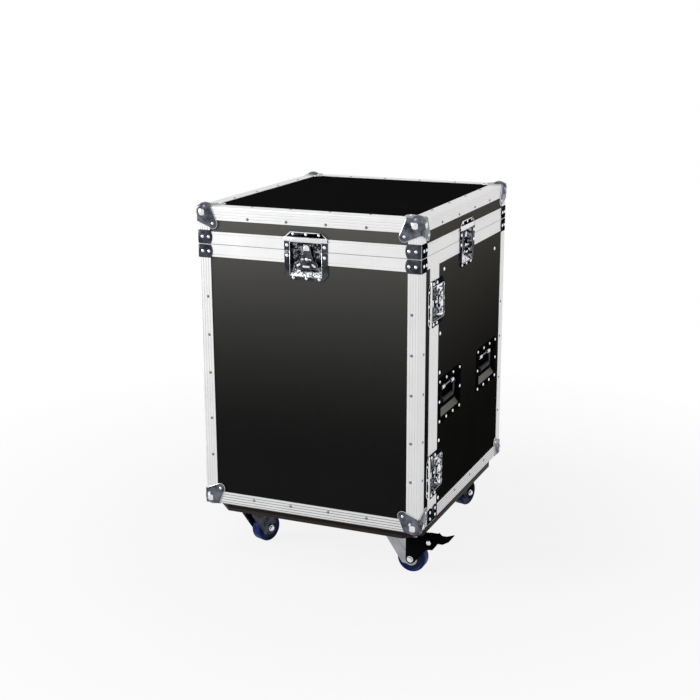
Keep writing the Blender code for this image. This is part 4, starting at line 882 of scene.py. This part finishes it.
def handle_spring():
    """Six turns of bright wire round the pivot line."""
    turns, steps = 6, 16
    loops = []
    for step in range(turns * steps + 1):
        angle = math.tau * step / steps
        radial = Vector((0, math.cos(angle), math.sin(angle)))
        centre = RIGHT * (0.0225 + 0.017 * step / (turns * steps)) + radial * 0.0045
        loops.append(ring(centre, radial, RIGHT, WIRE_RADIUS, 8))
    bm = bmesh.new()
    carry(bm, loops, False)
    return smooth(new_piece("spring", bm, nickel_and_highlight), 60)


dish, bar, grip, spring = handle_dish(), handle_bar(), handle_grip(), handle_spring()
shaft = smooth(place(cylinder(0.0026, -0.0485, 0.0485, 20, zinc), ALONG_X))
for side_name, outward, across in (("right", RIGHT, REAR), ("left", LEFT, FRONT)):
    for end_name, depth in (("front", COVER_SEAM + 0.1085), ("rear", HALF_DEPTH - 0.1245)):
        handle = f"handle_{side_name}_{end_name}"
        middle = outward * HALF_WIDTH + REAR * depth + UP * (BOX_BOTTOM + 0.262)
        matrix = from_axes(middle, across, UP, outward)
        hinge = matrix @ Matrix.Translation((0, PIVOT_HEIGHT, PIVOT_LEVEL))
        seat(dish, matrix, handle + "_pan", "case", "dish", handle + "_dish")
        seat(bar, hinge, handle + "_bar", handle + "_bail", "grip", handle + "_bail")
        seat(grip, hinge, handle + "_grip", handle + "_bail", "grip")
        seat(shaft, hinge, handle + "_shaft", handle + "_bail", "zinc")
        for label, mirror in (("a", Matrix()), ("b", Matrix.Diagonal((-1, 1, 1, 1)))):
            seat(spring, hinge @ mirror, f"{handle}_spring_{label}", "case", "zinc")
        for x in (-0.067, -0.0223, 0.0223, 0.067):
            rivet("case", matrix @ Vector((x, -0.045, -0.0003)), outward, 0.004, 0.002)
            rivet("case", matrix @ Vector((x, 0.045, -0.0003)), outward, 0.0036, 0.0018)
        for x in (-0.069, 0.069):
            rivet("case", matrix @ Vector((x, 0, -0.0003)), outward, 0.0038, 0.0018)
remove(dish, bar, grip, shaft, spring)


# Rack rails
# Zinc-plated steel angles with rows of square holes stand inside the opening, upright in front and
# sloped on top, and take the equipment's screws. Six round-headed bolts hold them from each side.

RAIL_BOLTS = ((-0.168, 0.041), (-0.168, 0.174), (-0.168, 0.328), (-0.168, 0.415), (-0.147, 0.552),
              (0.215, 0.534))

# Zinc plate on rolled steel: a pale grey mirror drawn out along the rolling.
rolled_zinc = clouded("zinc_plate_rolled", {"Metallic": 1.0}, ("#7c7e82", "#a7a9ad"),
                      patch=0.004, detail=5.0, gloss=(0.28, 0.45), stretch=(1.0, 1.0, 0.15))
for rail in ("front_rail_left", "front_rail_right", "top_rail_left", "top_rail_right"):
    dress(rail, rolled_zinc)
for sign in (1, -1):
    for y, z in RAIL_BOLTS:
        rivet("case", (sign * (HALF_WIDTH - SHEET - GAP), y, BOX_BOTTOM + z), RIGHT * sign, 0.0046, 0.0022)


# Castor board
# A board of 22 mm plywood, sawn off at the corners, painted dark and screwed under the body, carries
# the castors. Its edge is lighter and browner in a band along the bottom.

BOARD_LOW, BOARD_HIGH = 0.1025, 0.1245
LOWER_BAND_TOP = BOARD_LOW + 0.0085

# Dark brown paint on plywood: almost black, browner and lighter towards the lower edge.
board_paint = clouded("brown_black_board_paint", {"Specular IOR Level": 0.08}, ("#191512", "#26221e"),
                      patch=0.02, detail=5.0, gloss=(0.5, 0.7))
made = board_paint.node_tree.nodes
spot = made["Texture Coordinate"].outputs["Object"]
height = add_node(board_paint, "SeparateXYZ", {}, {0: spot}).outputs["Z"]
band = add_node(board_paint, "MapRange", {"From Min": LOWER_BAND_TOP - 0.001, "From Max": LOWER_BAND_TOP + 0.001,
                                          "To Min": 1.0, "To Max": 0.0}, {"Value": height})
lower = add_node(board_paint, "Mix", {6: colour("#2f2a25"), 7: colour("#3f3a34")},
                 {0: made["Noise Texture"]}, data_type="RGBA")
tint = add_node(board_paint, "Mix", {}, {0: band, 6: made["Mix"], 7: lower}, data_type="RGBA")
shade(board_paint, {}, {"Base Color": tint})

board_x, board_y, sawn = HALF_WIDTH - 0.008, HALF_DEPTH - 0.019, 0.036
board = prism([(board_x, board_y - sawn), (board_x - sawn, board_y), (sawn - board_x, board_y),
               (-board_x, board_y - sawn), (-board_x, sawn - board_y), (sawn - board_x, -board_y),
               (board_x - sawn, -board_y), (board_x, sawn - board_y)], BOARD_LOW, BOARD_HIGH, board_paint)
settle(soften(board, 0.0022, 3), "castor_board", "case", "board", "base_board")


# Swivel castors
# Pressed steel forks turn on a ball race under a bolted plate, and hold blue elastic wheels on
# bolts. Two of them have black brake cheeks with a foot pedal; the forks of the other two are in
# the dark steel, a painted shade. They are drawn with the kingpin on the local Z axis, the floor at 0
# and the wheel towards +X.

AXLE = Vector((0.0305, 0, 0.0325))
PEDAL_PIVOT = Vector((0.073, 0, 0.078))
LEG_IN, LEG_OUT, CHEEK_OUT = 0.0147, 0.0177, 0.0197
HUB_HALF = 0.0144
PLATE_LOW, PLATE_HIGH = 0.0992, 0.1022

# Bright zinc on the forks: paler than the corners, a grey satin mirror.
fork_zinc = clouded("zinc_plate_bright", {"Metallic": 1.0}, ("#7f8185", "#b4b6ba"),
                    patch=0.015, detail=5.0, gloss=(0.22, 0.4))

# Blue elastic polyurethane: deep blue, satin, with a trace of dust from the floor.
tyre_blue = clouded("blue_elastic_tyre", {"Specular IOR Level": 0.08}, ("#051433", "#0b3486"),
                    patch=0.008, detail=6.0, gloss=(0.28, 0.48))

# Wheel centre of dark polyamide: blue black, a little glossier than the tyre.
hub_nylon = clouded("dark_polyamide_centre", {"Specular IOR Level": 0.2}, ("#080f22", "#101c3c"),
                    patch=0.01, detail=3.0, gloss=(0.3, 0.42))


def across_axle(piece, centre):
    """Lay a turned piece on a line that runs across the castor."""
    return place(piece, from_axes(centre, RIGHT, DOWN, REAR))


def side_plate(outline, low, high, *materials):
    """Plate from an outline in local X and Z, between two places on Y."""
    return place(prism(outline, low, high, *materials), from_axes((0, 0, 0), RIGHT, UP, FRONT))


def castor_plate():
    """Plate that is bolted under the board, bored for the kingpin."""
    solid = prism(rounded(0.092, 0.078, 0.01), PLATE_LOW, PLATE_HIGH, fork_zinc)
    return soften(cut(solid, cylinder(0.0058, 0.09, 0.11, 32)), 0.0004)


def castor_fork():
    """Kingpin, both covers of the ball race, crown, and two legs with a pressed rib."""
    solid = cylinder(0.0055, 0.092, PLATE_HIGH, 32, fork_zinc)
    crown = arc((0, 0), 0.034, 35, 325, 40) + [(0.046, -LEG_OUT), (0.046, LEG_OUT)]
    join(solid, cylinder(0.026, 0.094, 0.0989, 56, fork_zinc, top=0.0245),
         cylinder(0.029, 0.0905, 0.0944, 56, fork_zinc, top=0.027), prism(crown, 0.0849, 0.0909, fork_zinc))
    leg = [(-0.027, 0.0859), (-0.027, 0.0769), (AXLE.x - 0.02, AXLE.z - 0.011)]
    leg += arc((AXLE.x, AXLE.z), 0.0155, 235, 360, 16) + [(0.046, 0.0859)]
    rib = [(-0.012, 0.084), (-0.012, 0.076), (0.016, 0.048), (0.022, 0.048), (-0.004, 0.078),
           (-0.004, 0.084)]
    for sign in (1, -1):
        join(solid, side_plate(leg, *sorted((sign * LEG_IN, sign * LEG_OUT)), fork_zinc),
             side_plate(rib, *sorted((sign * (LEG_OUT - 0.001), sign * (LEG_OUT + 0.001))), fork_zinc))
    return soften(solid, 0.0006)


def castor_cheek(sign):
    """Brake cheek outside a leg, from the axle up to the pedal's pin."""
    outline = [(AXLE.x - 0.011, 0.0849)] + arc((AXLE.x, AXLE.z), 0.011, 180, 320, 14)
    outline += arc((PEDAL_PIVOT.x, PEDAL_PIVOT.z), 0.008, -40, 90, 10)
    low, high = sorted((sign * (LEG_OUT - 0.0005), sign * CHEEK_OUT))
    return soften(side_plate(outline, low, high, black_paint), 0.0005)


def castor_pedal():
    """Bent channel with a dished tread, ribs across its tip and a heel over the tyre."""
    top, dip, bend, middle, wall, shoe = 0.011, 0.0045, 0.0185, 0.02925, 0.0035, 0.0188
    channel = [(-0.008, top), (0.0115, top), (bend, dip), (bend, dip - 2 * wall), (0.007, -shoe),
               (0, -shoe), (-0.0128, -0.0235), (-0.016, -shoe), (-0.008, -0.0038)]
    tread = [(0.0115, top), (bend, dip), (middle, dip), (0.047, top), (0.047, top - wall / 2),
             (middle + wall, dip - wall), (bend - wall / 2, dip - wall), (0.0115, top - wall)]
    solid = side_plate(channel, -0.014, 0.014, black_paint)
    cut(solid, box((-0.032, -0.0115, wall - shoe), (0.037, 0.0115, top - wall), black_paint))
    join(solid, side_plate(tread, -0.02, 0.02, black_paint))
    for x, z in ((0.033, 0.0058), (0.0385, 0.0078), (0.044, 0.0098)):
        join(solid, side_plate(arc((x, z - 0.0003), 0.0013, 0, 330, 11), -0.0175, 0.0175, black_paint))
    cut(solid, across_axle(cylinder(0.0038, -0.03, 0.03, 24, black_paint), (0, 0, 0)))
    return place(soften(solid, 0.0006), Matrix.Translation(PEDAL_PIVOT))


def wheel_part(half, steps, finish):
    """Turned on the axle from the outer half of its profile of radius and offset."""
    profile = half + [(radius, -offset) for radius, offset in reversed(half)]
    return across_axle(smooth(turned(profile, steps, finish), 40), AXLE)


def castor_tyre():
    """Tread with rounded shoulders, 65 mm across."""
    half = [(0.0236, 0.0118), (0.0258, 0.0124), (0.0284, 0.0138)]
    return wheel_part(half + arc((0.0287, 0.0102), 0.0038, 90, 0, 7), 72, tyre_blue)


def castor_hub():
    """Boss round the axle, a thin web and the rim that holds the tyre."""
    return wheel_part([(0.0053, HUB_HALF), (0.0103, HUB_HALF), (0.0115, HUB_HALF - 0.001), (0.012, 0.0112),
                       (0.0205, 0.0106), (0.0222, 0.0122), (0.0237, 0.0122)], 60, hub_nylon)


def hex_bolt(radius, height):
    """Chamfered hexagon head on a washer, its seat at the local origin."""
    head = cylinder(radius, 0.0008, height, 6, nickel_and_highlight)
    cap = cylinder(radius * 1.12, -0.001, height + 0.0002, 40, nickel_and_highlight, top=radius * 0.86)
    combine(head, "INTERSECT", cap)
    return soften(join(head, cylinder(radius * 1.22, -0.0004, 0.0012, 32, nickel_and_highlight)), 0.0003)


plate, yoke, treadle, tyre, hub = castor_plate(), castor_fork(), castor_pedal(), castor_tyre(), castor_hub()
pin = across_axle(smooth(cylinder(0.0035, -CHEEK_OUT, CHEEK_OUT, 24, fork_zinc)), PEDAL_PIVOT)
axle = across_axle(smooth(cylinder(0.005, -LEG_OUT, LEG_OUT, 24, fork_zinc)), AXLE)
nut, bolt, cheeks = hex_bolt(0.006, 0.005), hex_bolt(0.0058, 0.0048), (castor_cheek(1), castor_cheek(-1))
castor_x, castor_y = HALF_WIDTH - 0.077, HALF_DEPTH - 0.0935
for name, x, y, turn, braked in (("front_right", castor_x, -castor_y, 0, True),
                                 ("front_left", -castor_x, -castor_y, 70, False),
                                 ("rear_right", castor_x, castor_y, 76, False),
                                 ("rear_left", -castor_x, castor_y, 180, True)):
    castor = "castor_" + name
    fork, wheel, pedal = castor + "_fork", castor + "_wheel", castor + "_pedal"
    stand = Matrix.Translation((x, y, 0))
    matrix = stand @ Matrix.Rotation(math.radians(turn), 4, "Z")
    seat(plate, stand, castor + "_top_plate", "case", "zinc", castor + "_plate")
    turned_yoke = seat(yoke, matrix, castor + "_yoke", fork, "zinc", fork)
    # Painted shade: the forks without brakes are given the dark steel.
    if not braked:
        turned_yoke.data.materials[0] = dark_steel_and_shade
    seat(axle, matrix, castor + "_axle", fork, "zinc")
    seat(tyre, matrix, castor + "_tyre", wheel, "tread", wheel)
    seat(hub, matrix, castor + "_hub", wheel, "tread")
    for outward, label in ((REAR, "a"), (FRONT, "b")):
        end = from_axes(AXLE + outward * (CHEEK_OUT if braked else LEG_OUT), UP, outward.cross(UP), outward)
        seat(nut, matrix @ end, f"{castor}_axle_nut_{label}", fork, "zinc")
        for end_name, bolt_x in (("front", -0.036), ("rear", 0.036)):
            hole = from_axes(outward * 0.029 + RIGHT * bolt_x + UP * PLATE_LOW, RIGHT, FRONT, DOWN)
            seat(bolt, stand @ hole, f"{castor}_bolt_{label}_{end_name}", "case", "zinc")
    if braked:
        seat(treadle, matrix, castor + "_treadle", pedal, "pedal", pedal)
        seat(pin, matrix, castor + "_pin", fork, "zinc")
        for outward, label, cheek in ((REAR, "a", cheeks[0]), (FRONT, "b", cheeks[1])):
            seat(cheek, matrix, f"{castor}_cheek_{label}", fork, "pedal")
            rivet(fork, matrix @ (PEDAL_PIVOT + outward * (CHEEK_OUT - 0.0001)), matrix.to_3x3() @ outward,
                  0.006, 0.003)
remove(plate, yoke, treadle, tyre, hub, pin, axle, nut, bolt, *cheeks)


# Rivet heads
# Each head is upset over a shallow collar, which is dark as a painted shadow line round its foot. The
# bright ones are nickel, and those along the edges have dulled with the aluminium round them.

def rivet_head(*materials):
    """Of radius 1 and height 1, on the local origin."""
    profile = [(1.10, -0.25), (1.08, 0.1), (0.93, 0.12), (0.9, 0.45), (0.66, 0.85), (0.28, 1.0)]
    bm = bmesh.new()
    carry(bm, [ring(UP * height, RIGHT, REAR, radius, 14) for radius, height in profile], False)
    head = smooth(new_piece("head", bm, *materials), 50)
    # Painted shadow line: the collar round the foot of each head takes the dark steel.
    return paint_light(head, lambda middle, facing: middle.xy.length > 0.92)


# Dulled steel of the small edge rivets: mid grey, so that they show as dark dots on the aluminium.
dull_steel = clouded("dull_rivet_steel", {"Metallic": 1.0}, ("#5e5f63", "#8b8c90"),
                     patch=0.004, detail=3.0, gloss=(0.25, 0.4))

heads = {"bright": rivet_head(nickel_and_highlight, dark_steel_and_shade), "edge": rivet_head(dull_steel, dark_steel_and_shade)}
for (kind, body), places in rivets.items():
    bm = bmesh.new()
    for point, outward, radius, height in places:
        along = FRONT if abs(outward.dot(UP)) > 0.9 else UP
        across = along.cross(outward).normalized()
        size = Matrix.Diagonal((radius, radius, height, 1))
        head = copy_of(heads[kind], from_axes(point, across, outward.cross(across), outward) @ size)
        bm.from_mesh(head.data)
        remove(head)
    made = smooth(new_piece("rivets", bm, *heads[kind].data.materials), 50)
    settle(made, f"rivets_{kind}_{body}", body, "zinc")
remove(*heads.values())


# Camera, floor and lamps
# The camera stands where the photograph was taken from. The floor and the surroundings are white to
# the eye and in the metal, and soft lamps stand in front, at the right and above.

camera_data = bpy.data.cameras.new("camera")
camera_data.lens = 67.95
camera_data.sensor_width = 36
camera = bpy.data.objects.new("camera", camera_data)
scene.collection.objects.link(camera)
camera.matrix_world = (Matrix.Translation((1.1598, -2.7633, 1.2328))
                       @ Matrix.Rotation(math.radians(23.22), 4, "Z")
                       @ Matrix.Rotation(math.radians(75.14), 4, "X")
                       @ Matrix.Rotation(math.radians(-0.22), 4, "Z"))
scene.camera = camera


def seen_directly(owner):
    """1 for camera rays and for rays by way of gloss or glass, and 0 for the light on the object."""
    path = add_node(owner, "LightPath").outputs
    seen = path["Is Camera Ray"]
    for kind in ("Glossy", "Transmission"):
        seen = add_node(owner, "Math", {}, {0: seen, 1: path[f"Is {kind} Ray"]}, operation="MAXIMUM")
    return seen


def surface(owner, output, node):
    """Make a node the surface that an output shows."""
    wire(owner, owner.node_tree.nodes[output], {}, {"Surface": node})


# Pale studio floor: takes the soft shadow near the case and is white away from it.
floor_paint = new_finish("pale_studio_floor")
shade(floor_paint, {"Base Color": colour("#f6f6f6"), "Roughness": 0.9}, {})
spot = add_node(floor_paint, "TexCoord").outputs["Object"]
away = add_node(floor_paint, "VectorMath", {}, {0: spot}, operation="LENGTH")
share = add_node(floor_paint, "MapRange", {"From Min": 0.5, "From Max": 1.5, "To Min": 0.86, "To Max": 1.0},
                 {"Value": away})
white = add_node(floor_paint, "Math", {}, {0: seen_directly(floor_paint), 1: share}, operation="MULTIPLY")
glow = add_node(floor_paint, "Emission", {"Color": (1, 1, 1, 1), "Strength": 1.0})
paint = floor_paint.node_tree.nodes["Principled BSDF"]
mixed = add_node(floor_paint, "MixShader", {}, {0: white, 1: paint, 2: glow})
surface(floor_paint, "Material Output", mixed)
bm = bmesh.new()
bmesh.ops.create_circle(bm, cap_ends=True, segments=96, radius=60)
new_piece("floor", bm, floor_paint)

world = bpy.data.worlds.new("studio")
world.use_nodes = True
scene.world = world
sky = world.node_tree.nodes["Background"]
sky.inputs["Color"].default_value = (0.8, 0.8, 0.8, 1)
sky.inputs["Strength"].default_value = 0.24
white = add_node(world, "Background", {"Color": (1, 1, 1, 1), "Strength": 1.0})
mixed = add_node(world, "MixShader", {}, {0: seen_directly(world), 1: sky, 2: white})
surface(world, "World Output", mixed)


def lamp(name, stand, target, size, energy, tint="#ffffff"):
    """Soft rectangle of light of a size in metres and an energy in watts, turned towards a target."""
    data = bpy.data.lights.new(name, "AREA")
    data.shape = "RECTANGLE"
    data.size, data.size_y = size
    data.energy = energy
    data.color = colour(tint)[:3]
    light = bpy.data.objects.new(name, data)
    scene.collection.objects.link(light)
    light.location = stand
    light.rotation_euler = (Vector(target) - Vector(stand)).to_track_quat("-Z", "Y").to_euler()


lamp("front", (-2.9, -1.9, 1.25), (0, -0.2, 0.5), (2.0, 1.4), 76)
lamp("side", (3.0, 1.2, 1.3), (0.25, 0, 0.5), (1.2, 1.2), 10, "#fff1de")
lamp("top", (-0.5, -0.9, 2.7), (0, 0, 0.8), (0.7, 0.7), 6)

scene.view_settings.view_transform = "Standard"
